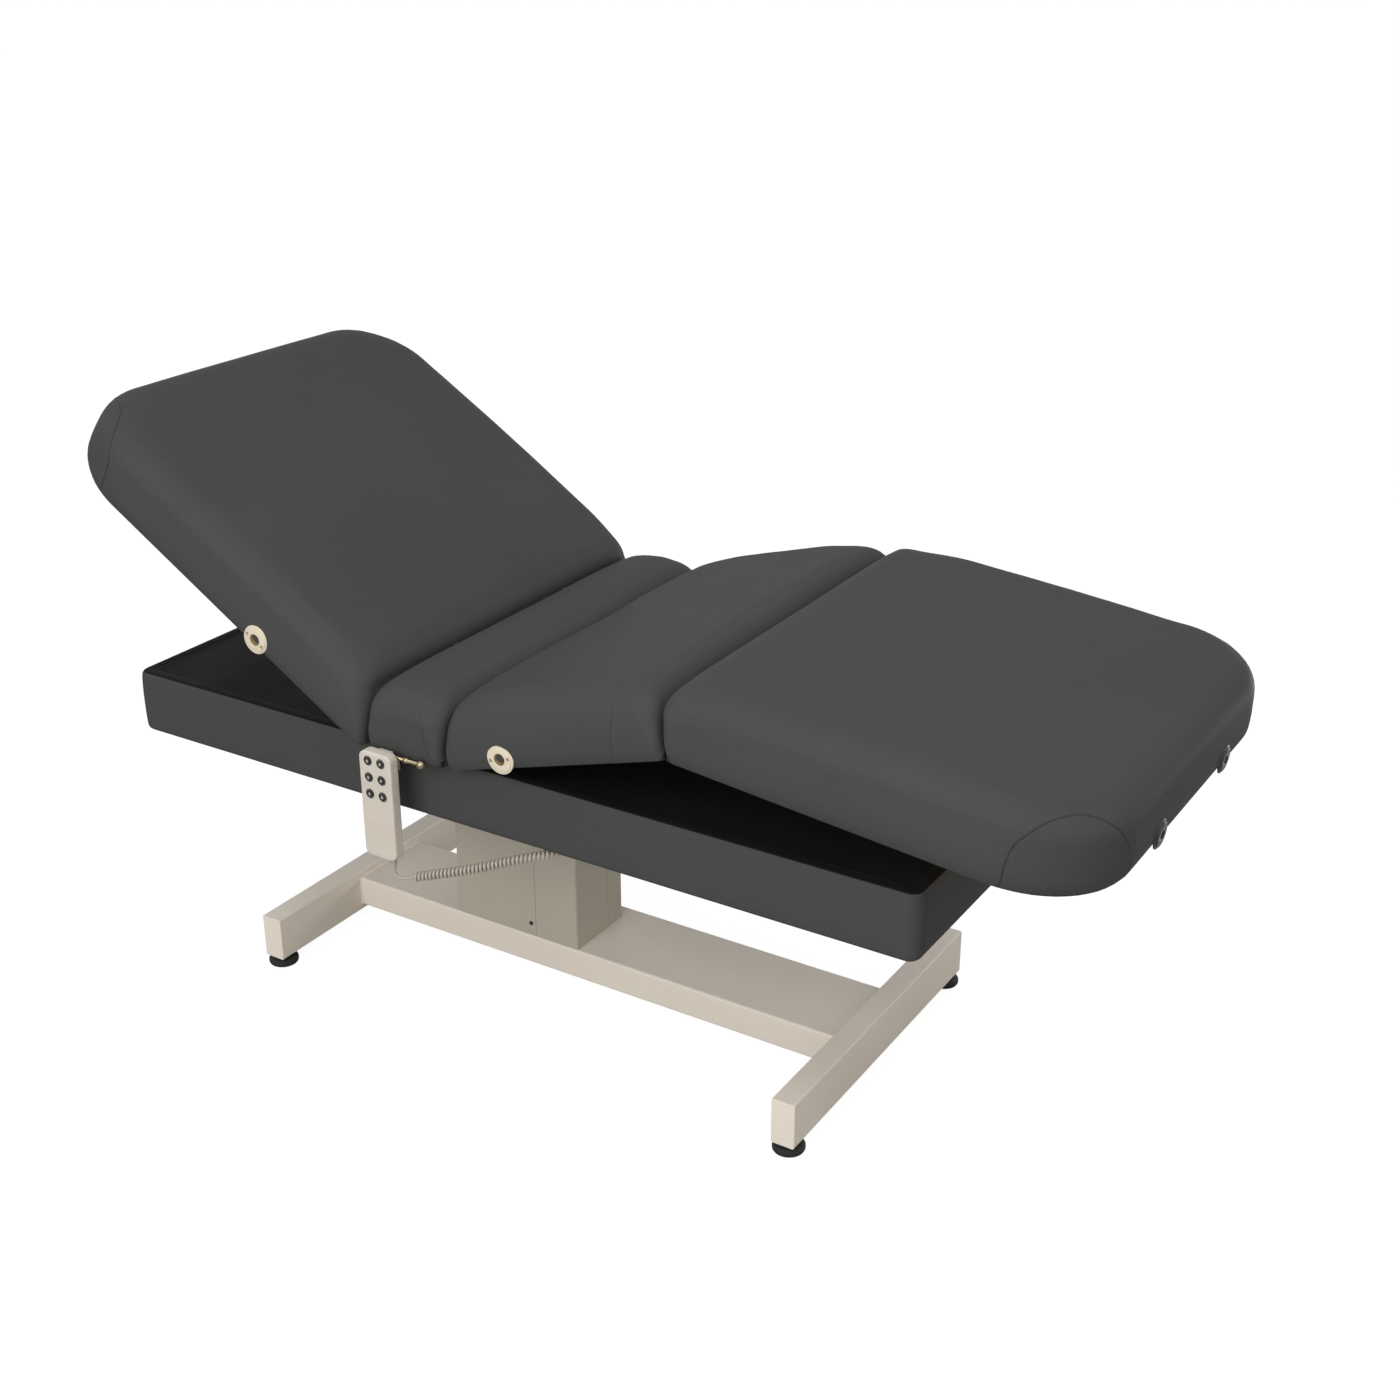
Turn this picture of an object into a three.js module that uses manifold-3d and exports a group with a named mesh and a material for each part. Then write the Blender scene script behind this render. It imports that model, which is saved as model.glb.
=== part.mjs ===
// Electric massage table with a lifting column, a raised back section and a bent leg section.
// Millimetres, +Z up, +X towards the foot end, -Y towards the side with the handset.
import * as THREE from "three";
import { mergeVertices } from "three/addons/utils/BufferGeometryUtils.js";
import Module from "manifold-3d";

const wasm = await Module();
wasm.setup();

// Fits between pieces
const seatGap = 0.3;
const slideGap = 1;
const boreGap = 0.4;

// Base: an H of two cross tubes and one wide beam
const crossTube = { length: 595, width: 40, height: 80, wall: 3, corner: 3, underside: 20 };
const beam = { length: 988, width: 170, height: 56, wall: 3, corner: 5, underside: 29, middle: -7 };
const levelFoot = { pad: 26, padHeight: 15, stud: 5, studReach: 34, inset: 21, nut: 9 };

// Lifting column
const column = { middle: -145.5, front: -84, back: 54, length: 257, top: 425, sheet: 2 };
const coverSeam = { alongFront: -104, alongSide: 10, gap: 0.6 };
const guide = { x: -195, outer: 80, inner: 71, wall: 4, innerWall: 3, innerFoot: 103 };
const basePlate = { thickness: 6, length: 238, width: 122 };
const liftActuator = { x: -116, tube: 23, bore: 16, rod: 14, rodLength: 300, motor: 22, motorAt: 47, motorHeight: 130 };
const liftGearbox = { width: 52, length: 99, height: 58 };
const shroud = { wall: 1.5, foot: 100 };
const topPlate = { underside: 440, thickness: 8, from: -376, to: -6, width: 230 };
const screwHead = { radius: 4, height: 2 };

// Frame, deck and skirt above the column
const rail = { height: 20, width: 40, wall: 2.5 };
const railPlaces = [-620, -352, -30, 120, 335, 620];
const sideRail = { width: 30, middle: 297 };
const skirt = { length: 1464, width: 688, underside: 433, top: 540.6, thickness: 22, corner: 20, roll: 7, tuck: 8 };
const deck = { top: 538, thickness: 9.7 };
const underSections = 543.6;

// Upholstered sections
const cushion = { width: 762, height: 108.5, sideRound: 40, endRound: 30, freeRound: 38, hem: 6, crown: 6 };
const board = { thickness: 12, inset: 7, batten: 22, battenHeight: 24 };
const hingeDrop = 20;
const sectionGap = 4;
const hingeCorner = 14;
const freeCorner = 145;
const back = { hingeX: -194.4, length: 696, angle: 32.1, slit: 9 };
const knee = { hingeX: -47.7, length: 389.6, angle: 16.5, slit: 7 };
const foot = { length: 633, angle: 22.45, slit: 9, axisHeight: 5 };
const pivotHeight = cushion.height - hingeDrop;
const hingeZ = underSections + pivotHeight;

// Hinge hardware
const hingePlate = { place: 150, thickness: 5, eye: 6.5, pin: 3, foot: 26, rib: 24 };
const notch = { width: 24, before: 9, after: 31, above: 8 };
const strap = { thickness: 3, width: 40, cross: 30 };
const footHinge = { places: [-230, 0, 230], leaf: 38, half: 262, knuckle: 20, side: 14, barrel: 5, pin: 2.4 };

// Accessory sockets
const sideSocket = { flange: 24, flangeThickness: 4, tube: 10, depth: 42, bore: 7, height: 17, screw: 17 };
const sideSocketPlace = { back: 204, knee: 100 };
const endSocket = { flange: 22, flangeThickness: 5, tube: 10, depth: 52, bore: 6.5, height: 20, spacing: 272 };

// Linear actuators under the deck
const actuator = { clear: 1.7, tube: 20, bore: 10.6, rod: 10, pin: 5, clevis: 12, reach: 34, cheek: 5 };
const backDrive = { side: 70, swing: 35, slot: 10.2, tubeFrom: -50, tubeTo: 240, blockTo: 300, stroke: 196, railAt: 4 };
const kneeDrive = { side: -70, swing: 13, slot: 6.2, tubeFrom: -122, tubeTo: -262, blockTo: -322, stroke: 66, railAt: 1 };
const actuatorBlock = { height: 44, motor: 21, motorSide: 46, motorLength: 92 };
const railFoot = topPlate.underside + topPlate.thickness + seatGap;
const railTop = railFoot + rail.height;
const actuatorHeight = railTop + actuator.clear + actuatorBlock.height / 2;
const lever = { thickness: 8, radius: hingeZ - actuatorHeight };

// Link that holds the foot section up
const link = { x: 120, z: 506, along: 272, drop: 55, thickness: 12, height: 22, pin: 4.5, cheek: 5, gap: 0.8 };
const linkSlot = { shift: 2.7, play: 4.2, across: 2 };
const deckSlot = { sides: 4, below: 28.3, above: 22, link: [26, 532] };

// Handset, its hook, its cord and the control box
const handset = { x: -150, back: -393, thickness: 20, width: 62, top: 559, bottom: 378, corner: 13, bevel: 2.5 };
const button = { radius: 6.2, columns: [-12.5, 12.5], rows: [544, 516, 488], proud: 1.8, depth: 6 };
const hook = { wire: 3, rodY: -387, rodZ: 547, from: -172, to: -80, bead: 5, beadAt: -109, ball: 7, plate: 30 };
const controlBox = { from: 190, to: 330, y: -235, width: 80, height: 44 };
const cord = { wire: 2.4, coil: 8, curls: 40, leadSteps: 7, sides: 5, stepsPerCurl: 8 };

const paint = {
  creamPaint: ["#cfc7bb", 0.45, 0.1],
  coverPaint: ["#b9b2a5", 0.5, 0.1],
  castSteel: ["#8d9096", 0.4, 0.9],
  darkSteel: ["#2a2b2d", 0.5, 0.6],
  blackRubber: ["#0c0c0c", 0.8, 0],
  greyVinyl: ["#454648", 0.55, 0],
  blackDeck: ["#101011", 0.7, 0],
  birchPly: ["#c9a878", 0.7, 0],
  creamPlastic: ["#e2d8c2", 0.4, 0],
  blackPlastic: ["#1a1a1b", 0.5, 0],
  handsetPlastic: ["#c9bfb5", 0.45, 0],
  cordPlastic: ["#bdb5a8", 0.5, 0],
  brass: ["#b99a5b", 0.35, 0.9],
};

function material(name) {
  const [color, roughness, metalness] = paint[name];
  return new THREE.MeshStandardMaterial({ name, color, roughness, metalness });
}

// Booleans on closed geometries

function solidOf(geometry) {
  const bare = geometry.clone();
  bare.deleteAttribute("normal");
  bare.deleteAttribute("uv");
  const merged = mergeVertices(bare, 1e-4);
  const vertProperties = new Float32Array(merged.attributes.position.array);
  const triVerts = new Uint32Array(merged.index.array);
  return new wasm.Manifold(new wasm.Mesh({ numProp: 3, vertProperties, triVerts }));
}

function geometryOf(solid) {
  const mesh = solid.getMesh();
  const geometry = new THREE.BufferGeometry();
  geometry.setAttribute("position", new THREE.BufferAttribute(mesh.vertProperties, 3));
  geometry.setIndex(new THREE.BufferAttribute(mesh.triVerts, 1));
  return geometry;
}

function join(...pieces) {
  return geometryOf(pieces.map(solidOf).reduce((a, b) => a.add(b)));
}

function cut(piece, ...tools) {
  return geometryOf(tools.map(solidOf).reduce((a, b) => a.subtract(b), solidOf(piece)));
}

function common(a, b) {
  return geometryOf(solidOf(a).intersect(solidOf(b)));
}

// Basic shapes

function block(x, y, z) {
  const [[x0, x1], [y0, y1], [z0, z1]] = [x, y, z];
  const box = new THREE.BoxGeometry(x1 - x0, y1 - y0, z1 - z0);
  return box.translate((x0 + x1) / 2, (y0 + y1) / 2, (z0 + z1) / 2);
}

function around(middle, size) {
  return [middle - size / 2, middle + size / 2];
}

function rod(axis, radius, from, to, a, b, sides = 16) {
  const cylinder = new THREE.CylinderGeometry(radius, radius, to - from, sides);
  const middle = (from + to) / 2;
  if (axis === "x") return cylinder.rotateZ(-Math.PI / 2).translate(middle, a, b);
  if (axis === "y") return cylinder.translate(a, middle, b);
  return cylinder.rotateX(Math.PI / 2).translate(a, b, middle);
}

function roundedRect(width, height, corner, path = new THREE.Shape()) {
  const [w, h] = [width / 2, height / 2];
  const c = Math.min(corner, w - 0.1, h - 0.1);
  path.moveTo(-w + c, -h);
  path.lineTo(w - c, -h);
  path.absarc(w - c, -h + c, c, -Math.PI / 2, 0);
  path.lineTo(w, h - c);
  path.absarc(w - c, h - c, c, 0, Math.PI / 2);
  path.lineTo(-w + c, h);
  path.absarc(-w + c, h - c, c, Math.PI / 2, Math.PI);
  path.lineTo(-w, -h + c);
  path.absarc(-w + c, -h + c, c, Math.PI, 1.5 * Math.PI);
  return path;
}

function tubeShape(width, height, wall, corner) {
  const shape = roundedRect(width, height, corner);
  const inner = Math.max(corner - wall, 0.5);
  shape.holes.push(roundedRect(width - 2 * wall, height - 2 * wall, inner, new THREE.Path()));
  return shape;
}

const turned = {
  x: new THREE.Matrix4().makeBasis(
    new THREE.Vector3(0, 1, 0),
    new THREE.Vector3(0, 0, 1),
    new THREE.Vector3(1, 0, 0),
  ),
  y: new THREE.Matrix4().makeBasis(
    new THREE.Vector3(0, 0, 1),
    new THREE.Vector3(1, 0, 0),
    new THREE.Vector3(0, 1, 0),
  ),
  z: new THREE.Matrix4(),
};

// The section lies across the axis: (y, z) for x, (z, x) for y and (x, y) for z.
function extrude(shape, axis, from, to, curveSegments = 3, bevel = 0) {
  const geometry = new THREE.ExtrudeGeometry(shape, {
    depth: to - from - 2 * bevel,
    bevelEnabled: bevel > 0,
    bevelThickness: bevel,
    bevelSize: bevel,
    bevelOffset: -bevel,
    bevelSegments: 2,
    curveSegments,
    steps: 1,
  });
  return geometry.translate(0, 0, from + bevel).applyMatrix4(turned[axis]);
}

// A plate that stands in the XZ plane, from its outline points.
function plate(points, from, thickness, holes = []) {
  const shape = new THREE.Shape(points.map(([x, z]) => new THREE.Vector2(z, x)));
  for (const hole of holes) shape.holes.push(hole);
  return extrude(shape, "y", from, from + thickness, 8);
}

// A slot for a plate: middle [x, z], half length along the direction, half width.
function slotHole([x, z], [dx, dz], halfLength, halfWidth) {
  const path = new THREE.Path();
  const turn = Math.atan2(dx, dz);
  const reach = Math.max(halfLength - halfWidth, 0.01);
  const points = [];
  for (const end of [1, -1]) {
    for (let i = 0; i <= 6; i += 1) {
      const a = turn + (end > 0 ? -Math.PI / 2 : Math.PI / 2) + (i * Math.PI) / 6;
      const [cz, cx] = [z + end * reach * Math.cos(turn), x + end * reach * Math.sin(turn)];
      points.push(new THREE.Vector2(cz + halfWidth * Math.cos(a), cx + halfWidth * Math.sin(a)));
    }
  }
  path.setFromPoints(points);
  return path;
}

function mirroredX(geometry) {
  const mirrored = geometry.index ? geometry.toNonIndexed() : geometry.clone();
  const p = mirrored.attributes.position;
  for (let i = 0; i < p.count; i += 1) p.setX(i, -p.getX(i));
  for (let i = 0; i < p.count; i += 3) {
    const [x, y, z] = [p.getX(i), p.getY(i), p.getZ(i)];
    p.setXYZ(i, p.getX(i + 1), p.getY(i + 1), p.getZ(i + 1));
    p.setXYZ(i + 1, x, y, z);
  }
  return mirrored;
}

// Assembly helpers

const table = new THREE.Group();
const topGroup = new THREE.Group();
const backGroup = new THREE.Group();
const kneeGroup = new THREE.Group();
const footGroup = new THREE.Group();
table.add(topGroup);
topGroup.add(backGroup, kneeGroup);
kneeGroup.add(footGroup);
const degrees = Math.PI / 180;
backGroup.position.set(back.hingeX, 0, hingeZ);
backGroup.rotation.y = back.angle * degrees;
kneeGroup.position.set(knee.hingeX, 0, hingeZ);
kneeGroup.rotation.y = -knee.angle * degrees;
footGroup.position.set(knee.length, 0, foot.axisHeight - pivotHeight);
footGroup.rotation.y = foot.angle * degrees;

function place(group, name, paintName, ...pieces) {
  const geometry = pieces.length > 1 ? join(...pieces) : pieces[0];
  const mesh = new THREE.Mesh(geometry, material(paintName));
  mesh.name = name;
  group.add(mesh);
  return mesh;
}

// Base frame

const tubeMiddles = [-1, 1].map((end) => beam.middle + end * (beam.length / 2 + crossTube.width / 2 + seatGap));
const tubeTop = crossTube.underside + crossTube.height;
const beamTop = beam.underside + beam.height;

// Square tube with welded end plates, open only at the holes for the feet.
function crossTubeGeometry(x) {
  const { length, width, height, wall, corner, underside } = crossTube;
  const outer = extrude(roundedRect(height, width, corner), "y", -length / 2, length / 2, 4);
  const hollow = roundedRect(height - 2 * wall, width - 2 * wall, 1.5);
  const inner = extrude(hollow, "y", -length / 2 + wall, length / 2 - wall, 2);
  const middleZ = (underside + tubeTop) / 2;
  const holes = [-1, 1].map((side) =>
    rod("z", levelFoot.stud + boreGap, underside - 1, underside + 12, x, side * footY, 12),
  );
  return cut(outer.translate(x, 0, middleZ), inner.translate(x, 0, middleZ), ...holes);
}

const footY = crossTube.length / 2 - levelFoot.inset;
const middleOfBeam = beam.underside + beam.height / 2;

place(table, "head_cross_tube", "creamPaint", crossTubeGeometry(tubeMiddles[0]));
place(table, "foot_cross_tube", "creamPaint", crossTubeGeometry(tubeMiddles[1]));
const beamShape = tubeShape(beam.width, beam.height, beam.wall, beam.corner);
const beamTube = extrude(beamShape, "x", beam.middle - beam.length / 2, beam.middle + beam.length / 2, 4);
place(table, "base_beam", "creamPaint", beamTube.translate(0, 0, middleOfBeam));

// Levelling feet: a rubber pad on a threaded stud with its lock nut under the tube

function levelFootGeometry(x, side) {
  const { pad, padHeight, stud, studReach, nut } = levelFoot;
  const profile = [
    [0, 0],
    [pad - 7, 0],
    [pad, 5],
    [pad, padHeight - 5],
    [nut + 2, padHeight],
    [stud, padHeight],
    [stud, studReach],
    [0, studReach],
  ].map(([r, z]) => new THREE.Vector2(r, z));
  const lathe = new THREE.LatheGeometry(profile, 16).rotateX(Math.PI / 2);
  return lathe.translate(x, side * footY, 0);
}

[
  ["leveling_foot_head_near", 0, -1],
  ["leveling_foot_head_far", 0, 1],
  ["leveling_foot_foot_near", 1, -1],
  ["leveling_foot_foot_far", 1, 1],
].forEach(([name, end, side]) => place(table, name, "blackRubber", levelFootGeometry(tubeMiddles[end], side)));

// Lifting column: guide tubes and actuator inside sheet metal covers

const columnY = (column.front + column.back) / 2;
const columnDepth = column.back - column.front;
const plateTop = beamTop + seatGap + basePlate.thickness;

function squareTube(outer, wall, from, to, x) {
  return extrude(tubeShape(outer, outer, wall, 4), "z", from, to).translate(x, columnY, 0);
}

const plateX = around(column.middle, basePlate.length);
const plateY = around(columnY, basePlate.width);
const columnPlate = block(plateX, plateY, [beamTop + seatGap, plateTop]);
const guideOuter = squareTube(guide.outer, guide.wall, plateTop - 0.1, column.top, guide.x);
place(table, "guide_tube_outer", "castSteel", columnPlate, guideOuter);
const guideInner = squareTube(guide.inner, guide.innerWall, guide.innerFoot, topPlate.underside + 1, guide.x);
const plateSpan = [topPlate.underside, topPlate.underside + topPlate.thickness];
const columnTopPlate = block([topPlate.from, topPlate.to], around(columnY, topPlate.width), plateSpan);
place(topGroup, "guide_tube_inner", "castSteel", guideInner, columnTopPlate);

function liftActuatorGeometry() {
  const { x, tube, bore, motor, motorAt, motorHeight } = liftActuator;
  const foot = plateTop + seatGap;
  const top = foot + liftGearbox.height;
  const box = extrude(roundedRect(liftGearbox.length, liftGearbox.width, 8), "z", foot, top, 3, 2);
  const placed = box.translate(x + motorAt / 2, columnY, 0);
  const outer = rod("z", tube, top - 1, liftTubeTop, x, columnY);
  const motorCan = rod("z", motor, top - 1, top + motorHeight, x + motorAt, columnY);
  const hollow = rod("z", bore, foot + 20, column.top, x, columnY, 16);
  return cut(join(placed, outer, motorCan), hollow);
}

const liftTubeTop = column.top - 8;
place(table, "lift_actuator", "darkSteel", liftActuatorGeometry());
const liftRodSpan = [liftTubeTop - liftActuator.rodLength, topPlate.underside - seatGap];
const liftRod = rod("z", liftActuator.rod, ...liftRodSpan, liftActuator.x, columnY);
place(topGroup, "lift_actuator_rod", "castSteel", liftRod);

function shroudGeometry() {
  const clear = 2 * (column.sheet + slideGap * 2);
  const shape = tubeShape(column.length - clear, columnDepth - clear, shroud.wall, 4);
  const tube = extrude(shape, "z", shroud.foot, topPlate.underside - seatGap);
  return tube.translate(column.middle, columnY, 0);
}

place(topGroup, "column_inner_shroud", "coverPaint", shroudGeometry());

// The covers are one folded box of sheet, split along the front seam and the two side seams.
function coverGeometry(keep) {
  const shape = tubeShape(column.length, columnDepth, column.sheet, 4);
  const box = extrude(shape, "z", beamTop + seatGap, column.top).translate(column.middle, columnY, 0);
  return common(box, keep);
}

const coverZ = [beamTop, column.top + 1];
const halfSeam = coverSeam.gap / 2;
const outside = 1000;
const headHalf = block([-outside, coverSeam.alongFront - halfSeam], [-outside, coverSeam.alongSide - halfSeam], coverZ);
const footHalf = block([coverSeam.alongFront + halfSeam, outside], [-outside, coverSeam.alongSide - halfSeam], coverZ);
const rearHalf = block([-outside, outside], [coverSeam.alongSide + halfSeam, outside], coverZ);
const screwSpot = [coverSeam.alongFront - 10, beamTop + 24];

// Sheet screw with a domed head on the front of the cover.
function coverScrew([x, z]) {
  const { radius, height } = screwHead;
  const profile = [
    [0, 0],
    [radius, 0],
    [radius * 0.9, height * 0.6],
    [radius * 0.45, height],
    [0, height],
  ].map(([r, h]) => new THREE.Vector2(r, h));
  const head = new THREE.LatheGeometry(profile, 12).rotateX(Math.PI);
  return head.translate(x, column.front - seatGap, z);
}

place(table, "column_cover_front_head", "coverPaint", coverGeometry(headHalf));
place(table, "column_cover_front_foot", "coverPaint", coverGeometry(footHalf));
place(table, "column_cover_rear", "coverPaint", coverGeometry(rearHalf));
place(table, "column_cover_screw", "darkSteel", coverScrew(screwSpot));

// Top frame: cross rails on the column's plate, side rails welded on the cross rails, and pivot lugs

const deckUnderside = deck.top - deck.thickness;

function squareCut(width, height, path = new THREE.Shape()) {
  const [w, h] = [width / 2, height / 2];
  path.moveTo(-w, -h);
  path.lineTo(w, -h);
  path.lineTo(w, h);
  path.lineTo(-w, h);
  path.lineTo(-w, -h);
  return path;
}

function railShape(width, height) {
  const shape = squareCut(width, height);
  shape.holes.push(squareCut(width - 2 * rail.wall, height - 2 * rail.wall, new THREE.Path()));
  return shape;
}

function crossRail(x) {
  const half = skirt.width / 2 - skirt.thickness - 1;
  const tube = extrude(railShape(rail.height, rail.width), "y", -half, half);
  return tube.translate(x, 0, railFoot + rail.height / 2);
}

// A lug that stands on a cross rail and carries a pivot.
function lug(x, y, z, thickness, radius) {
  const outline = [
    [x - radius - 6, railTop - 0.2],
    [x + radius + 6, railTop - 0.2],
    [x + radius, z],
    [x + radius * 0.6, z + radius * 0.8],
    [x - radius * 0.6, z + radius * 0.8],
    [x - radius, z],
  ];
  return plate(outline, y - thickness / 2, thickness);
}

function driveLug(drive) {
  const x = railPlaces[drive.railAt];
  const towards = Math.sign(drive.blockTo - x);
  const tongue = block(
    [Math.min(x, drive.blockTo - towards * seatGap), Math.max(x, drive.blockTo - towards * seatGap)],
    around(drive.side, 10),
    [actuatorHeight - 10, actuatorHeight + 10],
  );
  return [lug(x, drive.side, actuatorHeight, 10, 14), tongue];
}

function linkLugs() {
  const inner = link.thickness / 2 + link.gap;
  const cheeks = [-1, 1].map((side) =>
    lug(link.x, side * (inner + link.cheek / 2), link.z, link.cheek, 9),
  );
  const half = inner + link.cheek + 1.5;
  return [...cheeks, rod("y", link.pin, -half, half, link.x, link.z, 12)];
}

function sideRailGeometry(side) {
  const height = deckUnderside - seatGap - railTop;
  const half = skirt.length / 2 - skirt.thickness - 6;
  const tube = extrude(railShape(sideRail.width, height), "x", -half, half);
  return tube.translate(0, side * sideRail.middle, railTop - 0.5 + height / 2);
}

place(
  topGroup,
  "top_frame",
  "darkSteel",
  ...railPlaces.map(crossRail),
  sideRailGeometry(-1),
  sideRailGeometry(1),
  ...driveLug(backDrive),
  ...driveLug(kneeDrive),
  ...linkLugs(),
);

// Deck with slots for the levers and the link

const slotSides = deckSlot.sides;
const slotZ = [deckUnderside - deckSlot.below, deck.top + deckSlot.above];
const leverSlotWidth = lever.thickness + 2 * slotSides;
const linkSlotWidth = link.thickness + 2 * (link.cheek + link.gap + 2 * slotSides);
const deckSlots = [
  block([back.hingeX - 130, back.hingeX + 108], around(backDrive.side, leverSlotWidth), slotZ),
  block([knee.hingeX - 60, knee.hingeX + 122], around(kneeDrive.side, leverSlotWidth), slotZ),
  block([link.x + deckSlot.link[0], link.x + deckSlot.link[1]], around(0, linkSlotWidth), slotZ),
];
const inSkirt = { length: skirt.length - 2 * skirt.thickness - 2, width: skirt.width - 2 * skirt.thickness - 2 };
const deckShape = roundedRect(inSkirt.length, inSkirt.width, 4);
const deckGeometry = cut(extrude(deckShape, "z", deckUnderside, deck.top), ...deckSlots);
place(topGroup, "deck_panel", "blackDeck", deckGeometry);

// Upholstered skirt: padded boards with a rolled top edge and a tucked lower edge

function skirtRing() {
  const { length, width, underside, top, corner, roll, tuck, thickness } = skirt;
  const steps = [
    [underside, tuck * 0.75],
    [underside + tuck * 0.35, tuck * 0.3],
    [underside + tuck, 0],
    [top - roll, 0],
    [top - roll * 0.4, roll * 0.25],
    [top, roll],
  ];
  const count = 24;
  const positions = [];
  for (const [z, inset] of steps) {
    const shape = roundedRect(length - 2 * inset, width - 2 * inset, corner - inset * 0.5);
    for (const p of cornerPoints(shape, 5)) positions.push(p.x, p.y, z);
  }
  const outer = loftGeometry(positions, count, steps.length);
  const inner = block(around(0, length - 2 * thickness), around(0, width - 2 * thickness), [underside - 5, top + 5]);
  return cut(outer, inner);
}

// Points round a rounded rectangle: each corner's arc in steps, none between.
function cornerPoints(shape, steps) {
  const curves = shape.curves.filter((curve) => curve.isEllipseCurve);
  return curves.flatMap((curve) => curve.getPoints(steps));
}

// Closed body from rings of the same number of points, capped flat at both ends.
function loftGeometry(positions, count, rings) {
  const index = [];
  for (let r = 0; r < rings - 1; r += 1) {
    for (let i = 0; i < count; i += 1) {
      const j = (i + 1) % count;
      const [a, b, c, d] = [r * count + i, r * count + j, (r + 1) * count + i, (r + 1) * count + j];
      index.push(a, b, d, a, d, c);
    }
  }
  const last = (rings - 1) * count;
  for (let i = 1; i < count - 1; i += 1) {
    index.push(0, i + 1, i);
    index.push(last, last + i, last + i + 1);
  }
  const geometry = new THREE.BufferGeometry();
  geometry.setAttribute("position", new THREE.Float32BufferAttribute(positions, 3));
  geometry.setIndex(index);
  return geometry;
}

const ring = skirtRing();
const nearBand = block([-outside, outside], [-outside, -(skirt.width / 2 - skirt.thickness) - 0.01], [0, outside]);
const farBand = block([-outside, outside], [skirt.width / 2 - skirt.thickness + 0.01, outside], [0, outside]);
const between = around(0, skirt.width - 2 * skirt.thickness - coverSeam.gap);
const headBand = block([-outside, 0], between, [0, outside]);
const footBand = block([0, outside], between, [0, outside]);
place(topGroup, "skirt_side_near", "greyVinyl", common(ring, nearBand));
place(topGroup, "skirt_side_far", "greyVinyl", common(ring, farBand));
place(topGroup, "skirt_end_head", "greyVinyl", common(ring, headBand));
place(topGroup, "skirt_end_foot", "greyVinyl", common(ring, footBand));

// Upholstered cushions

// Plan outline of a cushion from its hinge end at x = near to its free end at x = far.
function planOutline(near, far, halfWidth, nearCorner, farCorner) {
  const points = [];
  const arc = (x, y, radius, from, steps) => {
    for (let i = 0; i <= steps; i += 1) {
      const a = (from + (90 * i) / steps) * degrees;
      points.push([x + radius * Math.cos(a), y + radius * Math.sin(a)]);
    }
  };
  const between = (a, b, steps) => {
    for (let i = 1; i < steps; i += 1) {
      points.push([a[0] + ((b[0] - a[0]) * i) / steps, a[1] + ((b[1] - a[1]) * i) / steps]);
    }
  };
  const farSteps = farCorner > 60 ? 7 : 3;
  arc(near + nearCorner, -halfWidth + nearCorner, nearCorner, 180, 3);
  between([near + nearCorner, -halfWidth], [far - farCorner, -halfWidth], 3);
  arc(far - farCorner, -halfWidth + farCorner, farCorner, 270, farSteps);
  between([far, -halfWidth + farCorner], [far, halfWidth - farCorner], 2);
  arc(far - farCorner, halfWidth - farCorner, farCorner, 0, farSteps);
  between([far - farCorner, halfWidth], [near + nearCorner, halfWidth], 3);
  arc(near + nearCorner, halfWidth - nearCorner, nearCorner, 90, 3);
  between([near, halfWidth - nearCorner], [near, -halfWidth + nearCorner], 4);
  return points;
}

// How far a rounded top edge has drawn in at a height above the cushion's underside.
function drawnIn(round, h) {
  const above = h - (cushion.height - round);
  return above <= 0 ? 0 : round - Math.sqrt(Math.max(round * round - above * above, 0));
}

// The whole cushion. Its hinge end leans by lean(h) towards its neighbour.
function cushionGeometry({ near, far, nearRound, farRound, nearCorner, farCorner, lean }) {
  const { width, height, sideRound, hem, crown } = cushion;
  const heights = [0, 8, 34, height - sideRound, height - 30, pivotHeight, height - 11.5, height - 5, height - 1.5, height];
  const positions = [];
  let count = 0;
  const addRing = (h, z, shrink) => {
    const tuck = hem * Math.max(0, 1 - h / 22) ** 2;
    const side = drawnIn(sideRound, h) + tuck;
    const nearIn = drawnIn(nearRound, h);
    const farIn = drawnIn(farRound, h) + (farCorner > 60 ? tuck : 0);
    const left = near + nearIn + lean(h);
    const right = far - farIn;
    const corners = [Math.max(nearCorner - nearIn * 0.3, 3), Math.max(farCorner - farIn, 3)];
    const outline = planOutline(left, right, width / 2 - side, ...corners);
    count = outline.length;
    const middle = (left + right) / 2;
    for (const [x, y] of outline) positions.push(middle + (x - middle) * shrink, y * shrink, z);
  };
  for (const h of heights) addRing(h, h, 1);
  for (const shrink of [0.86, 0.62, 0.3]) addRing(height, height + crown * (1 - shrink ** 2.4), shrink);
  const geometry = loftGeometry(positions, count, heights.length + 3);
  return geometry;
}

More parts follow.
